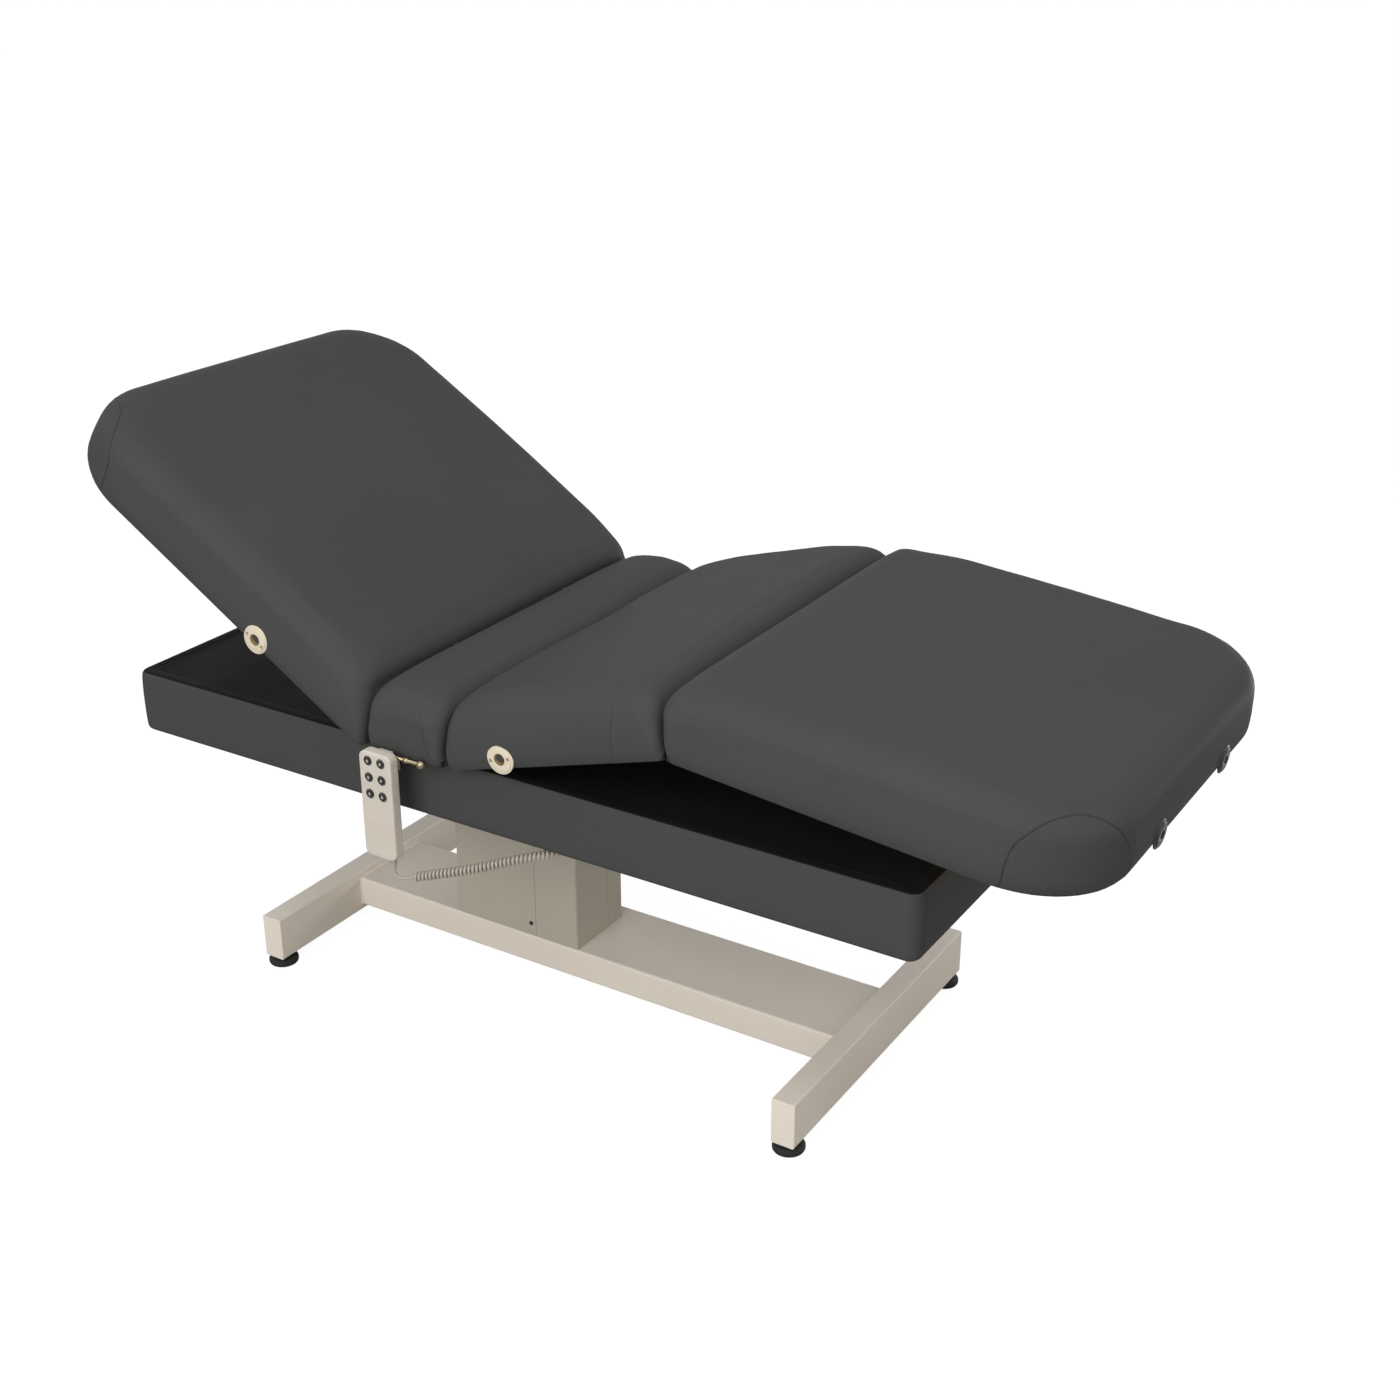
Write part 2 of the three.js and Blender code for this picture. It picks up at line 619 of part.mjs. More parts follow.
// The board under a cushion, with battens along its sides where sockets go in.
function boardPieces(near, far, farCorner, battens, grow = 0) {
  const { thickness, inset, batten, battenHeight } = board;
  const edge = cushion.width / 2 - inset + grow;
  const free = farCorner > 60;
  const right = far - (free ? inset : 0) + grow;
  const outline = planOutline(near - grow, right, edge, 3, Math.max(farCorner - inset, 3));
  const shape = new THREE.Shape(outline.map(([x, y]) => new THREE.Vector2(x, y)));
  const pieces = [extrude(shape, "z", -grow * 20, thickness + grow)];
  if (!battens) return pieces;
  const battenTop = thickness + battenHeight + grow;
  const sideEnd = free ? right - farCorner : right - 8;
  for (const side of [-1, 1]) {
    const y = side > 0 ? [edge - batten - 2 * grow - 2, edge - 2] : [-edge + 2, -edge + batten + 2 * grow + 2];
    pieces.push(block([near + 24 - grow, sideEnd + 2 * grow], y, [thickness - 1, battenTop]));
  }
  if (free) {
    const x = [right - batten - 2 * grow - 2, right - 2];
    pieces.push(block(x, around(0, 2 * (edge - farCorner) + 2 * grow), [thickness - 1, battenTop]));
  }
  return pieces;
}

// The notches at a hinge end that the hinge plates stand in.
function hingeNotches(x, z) {
  const { width, before, after, above } = notch;
  return [-1, 1].map((side) =>
    block([x - before, x + after], around(side * hingePlate.place, width), [z - pivotHeight - 2, z + above]),
  );
}

// Sockets are described for a bore that enters at y = -width / 2 or at the free end.
function sideSocketPieces(x, side) {
  const { flange, flangeThickness, tube, depth, bore, height, screw } = sideSocket;
  const edge = cushion.width / 2 + seatGap;
  const span = (from, to) => (side < 0 ? [-to, -from] : [from, to]);
  const disc = rod("y", flange, ...span(edge, edge + flangeThickness * 0.6), x, height, 20);
  const rim = rod("y", flange - 3, ...span(edge + 0.5, edge + flangeThickness), x, height, 20);
  const barrel = rod("y", tube, ...span(edge - depth, edge + 1), x, height, 12);
  const hollow = rod("y", bore, ...span(edge - depth + 4, edge + flangeThickness + 1), x, height, 12);
  const screws = [-1, 1].map((end) =>
    rod("y", 2.6, ...span(edge + 1, edge + flangeThickness + 0.8), x + end * screw, height, 6),
  );
  return cut(join(disc, rim, barrel, ...screws), hollow);
}

function endSocketPieces(x, y) {
  const { flange, flangeThickness, tube, depth, bore, height } = endSocket;
  const edge = x + seatGap;
  const disc = rod("x", flange, edge, edge + flangeThickness * 0.6, y, height, 16);
  const rim = rod("x", flange - 4, edge + 0.5, edge + flangeThickness, y, height, 16);
  const barrel = rod("x", tube, edge - depth, edge + 1, y, height, 12);
  const hollow = rod("x", bore, edge - depth + 4, edge + flangeThickness + 1, y, height, 12);
  return cut(join(disc, rim, barrel), hollow);
}

// Holes in cushion and board for those sockets.
function sideSocketHoles(x) {
  const { tube, depth, height } = sideSocket;
  const edge = cushion.width / 2;
  return [-1, 1].map((side) => {
    const span = side < 0 ? [-edge - 2, -edge + depth] : [edge - depth, edge + 2];
    return rod("y", tube + seatGap * 3, ...span, x, height, 12);
  });
}

function endSocketHoles(x) {
  const { tube, depth, height, spacing } = endSocket;
  return [-0.5, 0.5].map((side) =>
    rod("x", tube + seatGap * 3, x - depth - 1, x + 2, side * spacing, height, 12),
  );
}

// The socket flange needs a flat seat on the drawn-in side.
function flangeSeats(x, socket) {
  const edge = cushion.width / 2;
  return [-1, 1].map((side) => {
    const span = side < 0 ? [-edge - 6, -edge + 0.01] : [edge - 0.01, edge + 6];
    return rod("y", socket.flange + 1, ...span, x, socket.height, 20);
  });
}

// One section: cushion, soft heel and board, built flat with its hinge end at x = 0 and its underside at z = 0.
function buildSection({ length, farCorner, farRound, lean, trim, notches, holes }) {
  const near = sectionGap / 2;
  const far = farCorner > 60 ? length : length - sectionGap / 2;
  const whole = cushionGeometry({
    near,
    far,
    nearRound: cushion.endRound,
    farRound,
    nearCorner: hingeCorner,
    farCorner,
    lean,
  });
  const pocket = boardPieces(near, far, farCorner, true, seatGap);
  const padded = cut(whole, ...pocket, ...notches, ...holes);
  const boardBody = cut(join(...boardPieces(near + seatGap, far, farCorner, true)), ...notches, ...holes);
  const behind = block([near, outside], [-outside, outside], [-50, 500]);
  const ahead = block([-outside, near - seatGap], [-outside, outside], [-50, 500]);
  const main = common(padded, behind);
  const wedge = common(padded, ahead);
  const heel = trim ? cut(wedge, trim) : wedge;
  return { main, heel, boardBody };
}

// The soft heel fills the wedge that opens below the hinge, up to the slit that shows.
function heelLean(angle, slit) {
  const open = pivotHeight * Math.tan(angle * degrees) - slit;
  return (h) => (h < pivotHeight ? (-open * (pivotHeight - h)) / pivotHeight : 0);
}

// Everything below the seat's underside while the section stands at its angle.
function belowSeat(angle) {
  const floor = block([-outside, outside], [-outside, outside], [-outside, -pivotHeight]);
  return floor.rotateY(-angle * degrees).translate(0, 0, pivotHeight);
}

// The foot section's soft nose fills the wedge that opens above the hinge in its lower edge.
function noseLean(angle, slit) {
  const open = (h) => (h - foot.axisHeight) * Math.tan(angle * degrees);
  const full = open(cushion.height - cushion.endRound) - slit;
  const rise = cushion.height - cushion.endRound - foot.axisHeight;
  return (h) => (h > foot.axisHeight ? -full * Math.min((h - foot.axisHeight) / rise, 1) : 0);
}

const sides = [
  ["near", -1],
  ["far", 1],
];

// Back section, mirrored because it runs towards -X
{
  const x = sideSocketPlace.back;
  const section = buildSection({
    length: back.length,
    farCorner: freeCorner,
    farRound: cushion.freeRound,
    lean: heelLean(back.angle, back.slit),
    trim: belowSeat(-back.angle),
    notches: hingeNotches(0, pivotHeight),
    holes: [...sideSocketHoles(x), ...endSocketHoles(back.length)],
  });
  const flip = (geometry) => mirroredX(geometry).translate(0, 0, -pivotHeight);
  place(backGroup, "back_board", "birchPly", flip(section.boardBody));
  place(backGroup, "back_cushion", "greyVinyl", flip(section.main));
  place(backGroup, "back_cushion_heel", "greyVinyl", flip(section.heel));
  for (const [name, side] of sides) {
    const end = endSocketPieces(back.length, (side * endSocket.spacing) / 2);
    place(backGroup, `back_side_socket_${name}`, "creamPlastic", flip(sideSocketPieces(x, side)));
    place(backGroup, `head_end_socket_${name}`, "blackPlastic", flip(end));
  }
}

// Knee section
{
  const x = sideSocketPlace.knee;
  const section = buildSection({
    length: knee.length,
    farCorner: hingeCorner,
    farRound: cushion.endRound,
    lean: heelLean(knee.angle, knee.slit),
    trim: belowSeat(-knee.angle),
    notches: [...hingeNotches(0, pivotHeight), ...knucklePockets(knee.length)],
    holes: sideSocketHoles(x),
  });
  const drop = (geometry) => geometry.translate(0, 0, -pivotHeight);
  place(kneeGroup, "knee_board", "birchPly", drop(section.boardBody));
  place(kneeGroup, "knee_cushion", "greyVinyl", drop(section.main));
  place(kneeGroup, "knee_cushion_heel", "greyVinyl", drop(section.heel));
  for (const [name, side] of sides) {
    place(kneeGroup, `knee_side_socket_${name}`, "creamPlastic", drop(sideSocketPieces(x, side)));
  }
}

// Foot section
{
  const section = buildSection({
    length: foot.length,
    farCorner: freeCorner,
    farRound: cushion.freeRound,
    lean: noseLean(foot.angle, foot.slit),
    notches: knucklePockets(0),
    holes: endSocketHoles(foot.length),
  });
  const drop = (geometry) => geometry.translate(0, 0, -foot.axisHeight);
  place(footGroup, "foot_board", "birchPly", drop(section.boardBody));
  place(footGroup, "foot_cushion", "greyVinyl", drop(section.main));
  place(footGroup, "foot_cushion_nose", "greyVinyl", drop(section.heel));
  for (const [name, side] of sides) {
    const end = endSocketPieces(foot.length, (side * endSocket.spacing) / 2);
    place(footGroup, `foot_end_socket_${name}`, "blackPlastic", drop(end));
  }
}

// Fixed seat section between the two hinges
const outerPlate = hingePlate.place + hingePlate.thickness / 2 + seatGap;
const innerPlate = hingePlate.place - hingePlate.thickness / 2 - seatGap;
const seatLength = knee.hingeX - back.hingeX - sectionGap;
{
  const start = back.hingeX + sectionGap / 2;
  const whole = cushionGeometry({
    near: 0,
    far: seatLength,
    nearRound: cushion.endRound,
    farRound: cushion.endRound,
    nearCorner: hingeCorner,
    farCorner: hingeCorner,
    lean: () => 0,
  });
  const gap = sectionGap / 2;
  const nearNotches = hingeNotches(-gap, pivotHeight);
  const farNotches = hingeNotches(0, pivotHeight).map((n) => mirroredX(n).translate(seatLength + gap, 0, 0));
  const pocket = boardPieces(0, seatLength, 3, false, seatGap);
  const lift = (geometry) => geometry.translate(start, 0, underSections);
  const boards = boardPieces(0.5, seatLength - 0.5, 3, false);
  const notchFloor = block([-50, seatLength + 50], [-outside, outside], [board.thickness, outside]);
  const aboveBoard = [...nearNotches, ...farNotches].map((n) => common(n, notchFloor));
  const plateZ = [board.thickness, board.thickness + 2 * seatGap + hingePlate.rib];
  const plateRoom = [-1, 1].map((side) =>
    block([10, seatLength - 10], around(side * innerPlate, hingePlate.thickness + 2 * seatGap), plateZ),
  );
  const strapZ = [board.thickness, board.thickness + strap.thickness + 2 * seatGap];
  const seatMiddle = around(seatLength / 2, strap.width + 2 * seatGap);
  const strapRoom = block(seatMiddle, around(0, 2 * innerPlate), strapZ);
  const strips = [-1, 1].map((side) =>
    block([16, seatLength - 16], around(side * 250, 60), [deck.top + seatGap - underSections, 0.1]),
  );
  place(topGroup, "seat_board", "birchPly", lift(join(boards[0], ...strips)));
  place(topGroup, "seat_cushion", "greyVinyl", lift(cut(whole, ...pocket, ...aboveBoard, ...plateRoom, strapRoom)));
}

// Seat hinge frame: two plates that carry both hinge pins, joined by a strap on the seat board

// Half circle of an eye round [x, z] in points that turn from the first angle to the last.
function eyePoints(x, z, radius, first, last) {
  const points = [];
  for (let i = 0; i <= 8; i += 1) {
    const a = (first + ((last - first) * i) / 8) * degrees;
    points.push([x + radius * Math.cos(a), z + radius * Math.sin(a)]);
  }
  return points;
}

function seatHingeFrame() {
  const { eye, thickness, pin, rib } = hingePlate;
  const floor = underSections + board.thickness + seatGap;
  const outline = [
    ...eyePoints(back.hingeX, hingeZ, eye, 200, 20),
    [back.hingeX + 13, hingeZ - 30],
    [back.hingeX + 30, floor + rib],
    [knee.hingeX - 30, floor + rib],
    [knee.hingeX - 13, hingeZ - 30],
    ...eyePoints(knee.hingeX, hingeZ, eye, 160, -20),
    [knee.hingeX - 3, hingeZ - 30],
    [knee.hingeX - 5, floor],
    [back.hingeX + 5, floor],
    [back.hingeX + 3, hingeZ - 30],
  ];
  const pieces = [-1, 1].flatMap((side) => {
    const from = side * innerPlate - thickness / 2;
    const length = 2 * thickness + 3;
    const start = side > 0 ? from + 0.5 : from + thickness - 0.5 - length;
    const pins = [back.hingeX, knee.hingeX].map((x) => rod("y", pin, start, start + length, x, hingeZ, 12));
    return [plate(outline, from, thickness), ...pins];
  });
  const middle = (back.hingeX + knee.hingeX) / 2;
  const tie = block(around(middle, strap.width), around(0, 2 * innerPlate), [floor, floor + strap.thickness]);
  return join(...pieces, tie);
}

place(topGroup, "seat_hinge_frame", "darkSteel", seatHingeFrame());

// Section frames: flat steel under each board with the hinge plates, the lever and the brackets welded on.
// They are described with the pivot at the origin and the section running towards +X.

const strapTop = -pivotHeight - seatGap;
const strapZ = [strapTop - strap.thickness, strapTop];

function hingeEnd() {
  const { eye, thickness, pin, foot: footEnd } = hingePlate;
  const outline = [
    ...eyePoints(0, 0, eye, 160, -20),
    [footEnd, -60],
    [footEnd, strapZ[0] + 1],
    [5, strapZ[0] + 1],
    [3, -30],
  ];
  const plates = [-1, 1].map((side) => {
    const from = side * outerPlate - thickness / 2;
    const bore = rod("y", pin + boreGap, from - 1, from + thickness + 1, 0, 0, 12);
    return cut(plate(outline, from, thickness), bore);
  });
  const half = outerPlate + thickness / 2;
  return [...plates, block([5, 5 + strap.cross], [-half, half], strapZ)];
}

// Lever with the slot for the actuator's pin. At the flat position it leans back under the seat.
function driveLever(drive, sideY, openEnd) {
  const a = drive.swing * degrees;
  const wall = 5;
  const halfWidth = drive.slot + wall;
  const at = (r, t) => [-(r * Math.sin(a) + t * Math.cos(a)), -r * Math.cos(a) + t * Math.sin(a)];
  const near = lever.radius;
  const farthest = near / Math.cos(a);
  const tip = farthest + (openEnd ? 7 : halfWidth);
  const outline = [
    [110, strapZ[0] + 1],
    [4, strapZ[0] + 1],
    at(near - drive.slot - 4, halfWidth),
    at(tip, halfWidth),
    at(tip, -halfWidth),
    at(near - drive.slot - 14, -halfWidth),
    [30, strapZ[0] - 26],
    [110, strapZ[0] - 10],
  ];
  const from = sideY - lever.thickness / 2;
  const slotTo = openEnd ? tip + 20 : farthest;
  const direction = [-Math.sin(a), -Math.cos(a)];
  const halfLength = (slotTo - near) / 2 + drive.slot;
  const slotPath = slotHole(at((near + slotTo) / 2, 0), direction, halfLength, drive.slot);
  const slotShape = new THREE.Shape(slotPath.getPoints());
  const slot = extrude(slotShape, "y", from - 2, from + lever.thickness + 2, 6);
  const foot = block([20, 110], around(sideY, strap.width), strapZ);
  return [cut(plate(outline, from, lever.thickness), slot), foot];
}

// Long leaf of the hinge between the knee and foot boards, with its knuckles at three places.
// The barrel's axis is at the origin and the leaf runs towards +X under its board.
function footHingeLeaf(knuckles, withPin) {
  const { places, leaf, half, knuckle, side, barrel, pin } = footHinge;
  const top = -foot.axisHeight - seatGap;
  const low = top - strap.thickness;
  const outline = [
    [0, -barrel + 0.3],
    [4.5, low],
    [leaf, low],
    [leaf, top],
    [8, top],
    [barrel - 0.3, 0],
    [0, barrel - 0.3],
  ];
  const strip = block([8, leaf], [-half, half], [low, top]);
  const eyes = places.flatMap((y) =>
    knuckles.flatMap(([from, to]) => [
      plate(outline, y + from, to - from),
      rod("y", barrel - 0.3, y + from, y + to, 0, 0, 12),
    ]),
  );
  const whole = join(strip, ...eyes);
  const halfPin = knuckle / 2 + side;
  const pins = places.map((y) => {
    const grow = withPin ? 0 : boreGap;
    return rod("y", pin + grow, y - halfPin - grow, y + halfPin + grow, 0, 0, 10);
  });
  return withPin ? join(whole, ...pins) : cut(whole, ...pins);
}

// Room for the knuckles in the ends of the knee and foot sections.
function knucklePockets(x) {
  const { places, knuckle, side, barrel } = footHinge;
  const length = knuckle + 2 * side + 6;
  const reach = barrel + 4;
  return places.map((y) => block([x - reach, x + reach], around(y, length), [-1, 2 * barrel + 4]));
}

const halfKnuckle = footHinge.knuckle / 2;
const middleKnuckle = [[-halfKnuckle, halfKnuckle]];
const outerKnuckles = [
  [-halfKnuckle - footHinge.side, -halfKnuckle - 0.5],
  [halfKnuckle + 0.5, halfKnuckle + footHinge.side],
];

{
  const backFrame = join(...hingeEnd(), ...driveLever(backDrive, backDrive.side, true));
  place(backGroup, "back_section_frame", "darkSteel", mirroredX(backFrame));
}

{
  const leaf = mirroredX(footHingeLeaf(middleKnuckle, true));
  leaf.translate(knee.length, 0, foot.axisHeight - pivotHeight);
  const runner = block([5, knee.length - 10], around(kneeDrive.side, strap.width), strapZ);
  const pieces = [...hingeEnd(), ...driveLever(kneeDrive, kneeDrive.side, false), runner, leaf];
  place(kneeGroup, "knee_section_frame", "darkSteel", ...pieces);
}

// Actuators: tube, gearbox and motor in one casting; the rod ends in a clevis with a cross pin

function actuatorGeometry(drive) {
  const push = Math.sign(drive.tubeFrom - drive.tubeTo);
  const [y, z] = [drive.side, actuatorHeight];
  const outward = Math.sign(y);
  const span = (a, b) => [Math.min(a, b), Math.max(a, b)];
  const tube = rod("x", actuator.tube, ...span(drive.tubeFrom, drive.tubeTo), y, z, 14);
  const { height, motor, motorSide, motorLength } = actuatorBlock;
  const shape = roundedRect(motorSide + height, height, 8);
  const gearbox = extrude(shape, "x", ...span(drive.tubeTo + 4 * push, drive.blockTo), 3, 2);
  gearbox.translate(0, y + (outward * motorSide) / 2, z);
  const motorFrom = drive.tubeTo - 2 * push;
  const motorTo = drive.tubeTo + push * motorLength;
  const can = rod("x", motor, ...span(motorFrom, motorTo), y + outward * motorSide, z, 14);
  const bore = rod("x", actuator.bore, ...span(drive.tubeFrom + push * 2, drive.tubeTo + push * 8), y, z, 14);
  return cut(join(tube, gearbox, can), bore);
}

function actuatorRodGeometry(drive, pinX) {
  const push = Math.sign(drive.tubeFrom - drive.tubeTo);
  const [y, z] = [drive.side, actuatorHeight];
  const span = (a, b) => [Math.min(a, b), Math.max(a, b)];
  const neck = pinX - push * actuator.reach;
  const shortest = Math.abs(drive.tubeFrom - pinX);
  const length = shortest + drive.stroke / 2 + 50;
  const bar = rod("x", actuator.rod, ...span(neck, pinX - push * length), y, z, 14);
  const inner = lever.thickness / 2 + 1.2;
  const cheeks = [-1, 1].flatMap((side) => {
    const from = side > 0 ? y + inner : y - inner - actuator.cheek;
    return [
      rod("y", actuator.clevis, from, from + actuator.cheek, pinX, z, 16),
      block(span(neck - push * 5, pinX), [from, from + actuator.cheek], [z - 9, z + 9]),
    ];
  });
  const yoke = block(span(neck - push * 6, neck + push), around(y, 2 * (inner + actuator.cheek)), [z - 9, z + 9]);
  const pinHalf = inner + actuator.cheek + 2;
  const pin = rod("y", actuator.pin, y - pinHalf, y + pinHalf, pinX, z, 12);
  return join(bar, ...cheeks, yoke, pin);
}

const backPinX = back.hingeX + lever.radius * Math.tan((backDrive.swing - back.angle) * degrees);
const kneePinX = knee.hingeX - lever.radius * Math.tan((kneeDrive.swing - knee.angle) * degrees);
place(topGroup, "back_actuator", "darkSteel", actuatorGeometry(backDrive));
place(topGroup, "back_actuator_rod", "castSteel", actuatorRodGeometry(backDrive, backPinX));
place(topGroup, "knee_actuator", "darkSteel", actuatorGeometry(kneeDrive));
place(topGroup, "knee_actuator_rod", "castSteel", actuatorRodGeometry(kneeDrive, kneePinX));

// Foot section's support link and frame

footGroup.updateWorldMatrix(true, false);
const linkTip = new THREE.Vector3(link.along, 0, -link.drop).applyMatrix4(footGroup.matrixWorld);
const linkTurn = Math.atan2(linkTip.z - link.z, linkTip.x - link.x);

function linkGeometry() {
  const length = Math.hypot(linkTip.x - link.x, linkTip.z - link.z);
  const { height, thickness, pin, cheek, gap } = link;
  const outline = [
    ...eyePoints(0, 0, height / 2, 270, 90),
    ...eyePoints(length, 0, height / 2, 90, -90),
  ];
  const half = thickness / 2;
  const bar = plate(outline, -half, thickness);
  const bored = cut(bar, rod("y", pin + boreGap, -half - 1, half + 1, 0, 0, 12));
  const pinHalf = half + gap + cheek + 3;
  const whole = join(bored, rod("y", pin, -pinHalf, pinHalf, length, 0, 12));
  return whole.rotateY(-linkTurn).translate(link.x, 0, link.z);
}

place(topGroup, "foot_support_link", "darkSteel", linkGeometry());

// Two cheeks with slots that give the link's pin the play it needs.
function linkBracket() {
  const [x, z] = [link.along, -link.drop];
  const top = -foot.axisHeight - seatGap;
  const low = top - strap.thickness;
  const slotMiddle = [x + linkSlot.shift, z];
  const slot = slotHole(slotMiddle, [1, 0], link.pin + linkSlot.play, link.pin + linkSlot.across);
  const outline = [
    [x - 34, low + 1],
    [x - 20, z - 4],
    [x - 13, z - 15],
    [x + 13, z - 15],
    [x + 20, z - 4],
    [x + 34, low + 1],
  ];
  const inner = link.thickness / 2 + link.gap;
  const cheeks = [-1, 1].map((side) => {
    const start = side > 0 ? inner : -inner - link.cheek;
    return plate(outline, start, link.cheek, [slot]);
  });
  return [...cheeks, block([20, x + 34], around(0, strap.width), [low, top])];
}

place(footGroup, "foot_section_frame", "darkSteel", footHingeLeaf(outerKnuckles, false), ...linkBracket());

// Handset: a slim moulded box with six buttons, hung on a wire hook

const handsetFront = handset.back - handset.thickness;
const handsetMiddle = (handset.top + handset.bottom) / 2;

function buttonHole(x, z, grow) {
  const floor = handsetFront + button.depth;
  return rod("y", button.radius + grow, handsetFront - 1, floor, handset.x + x, z, 12);
}

// The moulded clip at the back drops over the hook's rod.
function handsetClip() {
  const { wire, rodY, rodZ } = hook;
  const legBack = rodY + wire + 0.35;
  const top = rodZ + wire + 0.3;
  const x = around(handset.x, 26);
  const bridge = block(x, [handset.back - 1, legBack + 1.4], [top, top + 3]);
  const leg = block(x, [legBack, legBack + 1.4], [rodZ - 6, top + 1]);
  return [bridge, leg];
}

function handsetGeometry() {
  const shape = roundedRect(handset.top - handset.bottom, handset.width, handset.corner);
  const body = extrude(shape, "y", handsetFront, handset.back, 4, handset.bevel);
  body.translate(handset.x, 0, handsetMiddle);
  const relief = rod("z", 4.6, handset.bottom - 14, handset.bottom + 2, cordExit.x, cordExit.y, 12);
  const wells = button.rows.flatMap((z) => button.columns.map((x) => buttonHole(x, z, boreGap)));
  return cut(join(body, ...handsetClip(), relief), ...wells);
}

const cordExit = { x: handset.x + 17, y: handset.back - handset.thickness / 2, z: handset.bottom - 14 };
place(topGroup, "handset_shell", "handsetPlastic", handsetGeometry());
const buttonNames = ["height_up", "height_down", "back_up", "back_down", "legs_up", "legs_down"];
button.rows.forEach((z, row) => {
  button.columns.forEach((x, column) => {
    const { radius, proud, depth } = button;
    const front = handsetFront - proud;
    const seat = handsetFront + depth - proud - 0.8;
    const cap = rod("y", radius, front, seat, handset.x + x, z, 12);
    place(topGroup, `button_${buttonNames[row * 2 + column]}`, "blackPlastic", cap);
  });
});

function hookGeometry() {
  const { wire, rodY, rodZ, from, to, bead, beadAt, ball, plate: size } = hook;
  const skirtFace = -skirt.width / 2 - seatGap;
  const path = new THREE.CurvePath();
  const corner = 8;
  const low = skirt.top - 24;
  const p = (x, y, z) => new THREE.Vector3(x, y, z);
  path.add(new THREE.LineCurve3(p(from, skirtFace - 1, low), p(from, rodY + corner, low)));
  path.add(new THREE.QuadraticBezierCurve3(p(from, rodY + corner, low), p(from, rodY, low), p(from, rodY, low + corner)));
  path.add(new THREE.LineCurve3(p(from, rodY, low + corner), p(from, rodY, rodZ - corner)));
  path.add(new THREE.QuadraticBezierCurve3(p(from, rodY, rodZ - corner), p(from, rodY, rodZ), p(from + corner, rodY, rodZ)));
  path.add(new THREE.LineCurve3(p(from + corner, rodY, rodZ), p(to, rodY, rodZ)));
  const section = new THREE.Shape();
  section.absarc(0, 0, wire, 0, 2 * Math.PI);
  const bent = new THREE.ExtrudeGeometry(section, { extrudePath: path, steps: 22, curveSegments: 3, bevelEnabled: false });
  const base = block(around(from, size), [skirtFace - 3, skirtFace], around(low, size));
  const sphere = (radius, x) => new THREE.SphereGeometry(radius, 10, 6).translate(x, rodY, rodZ);
  return join(bent, base, sphere(bead, beadAt), sphere(ball, to));
}

place(topGroup, "handset_hook", "brass", hookGeometry());

// Control box under the deck with the mains inlet and the handset socket

function controlBoxGeometry() {
  const { from, to, y, width, height } = controlBox;
  const top = deckUnderside - seatGap;
  const box = extrude(roundedRect(to - from, width, 6), "z", top - height, top, 3, 2);
  const placed = box.translate((from + to) / 2, y, 0);
  const inletZ = top - height / 2;
  const recess = extrude(roundedRect(16, 24, 4), "x", to - 14, to + 2, 2).translate(0, y + 12, inletZ);
  const pins = [-7, 0, 7].map((offset) => block([to - 15, to - 5], around(y + 12 + offset, 2.2), around(inletZ, 5)));
  const socket = rod("x", 6.5, from - 10, from + 1, cordEnd.y, cordEnd.z, 12);
  return join(cut(join(placed, socket), recess), ...pins);
}

const cordEnd = {
  x: controlBox.from - 10 - seatGap,
  y: controlBox.y - 20,
  z: deckUnderside - seatGap - controlBox.height + 16,
};
place(topGroup, "control_box", "blackPlastic", controlBoxGeometry());

// Handset cord: a straight lead, the curls and a straight lead, one unbroken tube

const cordStart = [cordExit.x, cordExit.y, cordExit.z - seatGap];
const cordRoute = [
  [cordExit.x, cordExit.y, cordExit.z - 6],
  [cordExit.x + 4, cordExit.y + 1, cordExit.z - 18],
  [cordExit.x + 16, cordExit.y + 4, cordExit.z - 28],
];
const coilRoute = [
  [-104, -396, 334],
  [-50, -385, 340],
  [0, -371, 354],
  [60, -350, 382],
  [110, -326, 410],
  [138, -303, 428],
];
const boxRoute = [
  [154, -286, 442],
  [163, -272, 464],
  [cordEnd.x - 11, cordEnd.y - 3, cordEnd.z - 5],
  [cordEnd.x - 6, cordEnd.y, cordEnd.z],
];
const cordFinish = [cordEnd.x, cordEnd.y, cordEnd.z];

// Centre line of the cord: straight leads and, between them, a helix round the coil's route.
function cordPoints() {
  const toVector = ([x, y, z]) => new THREE.Vector3(x, y, z);
  const axis = new THREE.CatmullRomCurve3(coilRoute.map(toVector), false, "centripetal");
  const first = new THREE.CatmullRomCurve3([...cordRoute, coilRoute[0]].map(toVector), false, "centripetal");
  const last = new THREE.CatmullRomCurve3([coilRoute.at(-1), ...boxRoute].map(toVector), false, "centripetal");
  const { curls, stepsPerCurl, coil, wire, leadSteps } = cord;
  const radius = coil - wire;
  const points = [toVector(cordStart)];
  for (let i = 0; i < leadSteps; i += 1) points.push(first.getPointAt((i / leadSteps) * 0.9));
  const total = curls * stepsPerCurl;
  const level = new THREE.Vector3(0, 0, 1);
  for (let i = 0; i <= total; i += 1) {
    const u = i / total;
    const centre = axis.getPointAt(u);
    const along = axis.getTangentAt(u);
    const side = new THREE.Vector3().crossVectors(along, level).normalize();
    const up = new THREE.Vector3().crossVectors(side, along).normalize();
    const grow = Math.min(1, (Math.min(i, total - i) + 1) / stepsPerCurl);
    const turn = (2 * Math.PI * i) / stepsPerCurl - Math.PI / 2;
    centre.addScaledVector(side, Math.cos(turn) * radius * grow);
    centre.addScaledVector(up, Math.sin(turn) * radius * grow);
    points.push(centre);
  }
  for (let i = 1; i <= leadSteps + 2; i += 1) points.push(last.getPointAt(0.12 + (i / (leadSteps + 2)) * 0.88));
  points.push(toVector(cordFinish));
  return points;
}

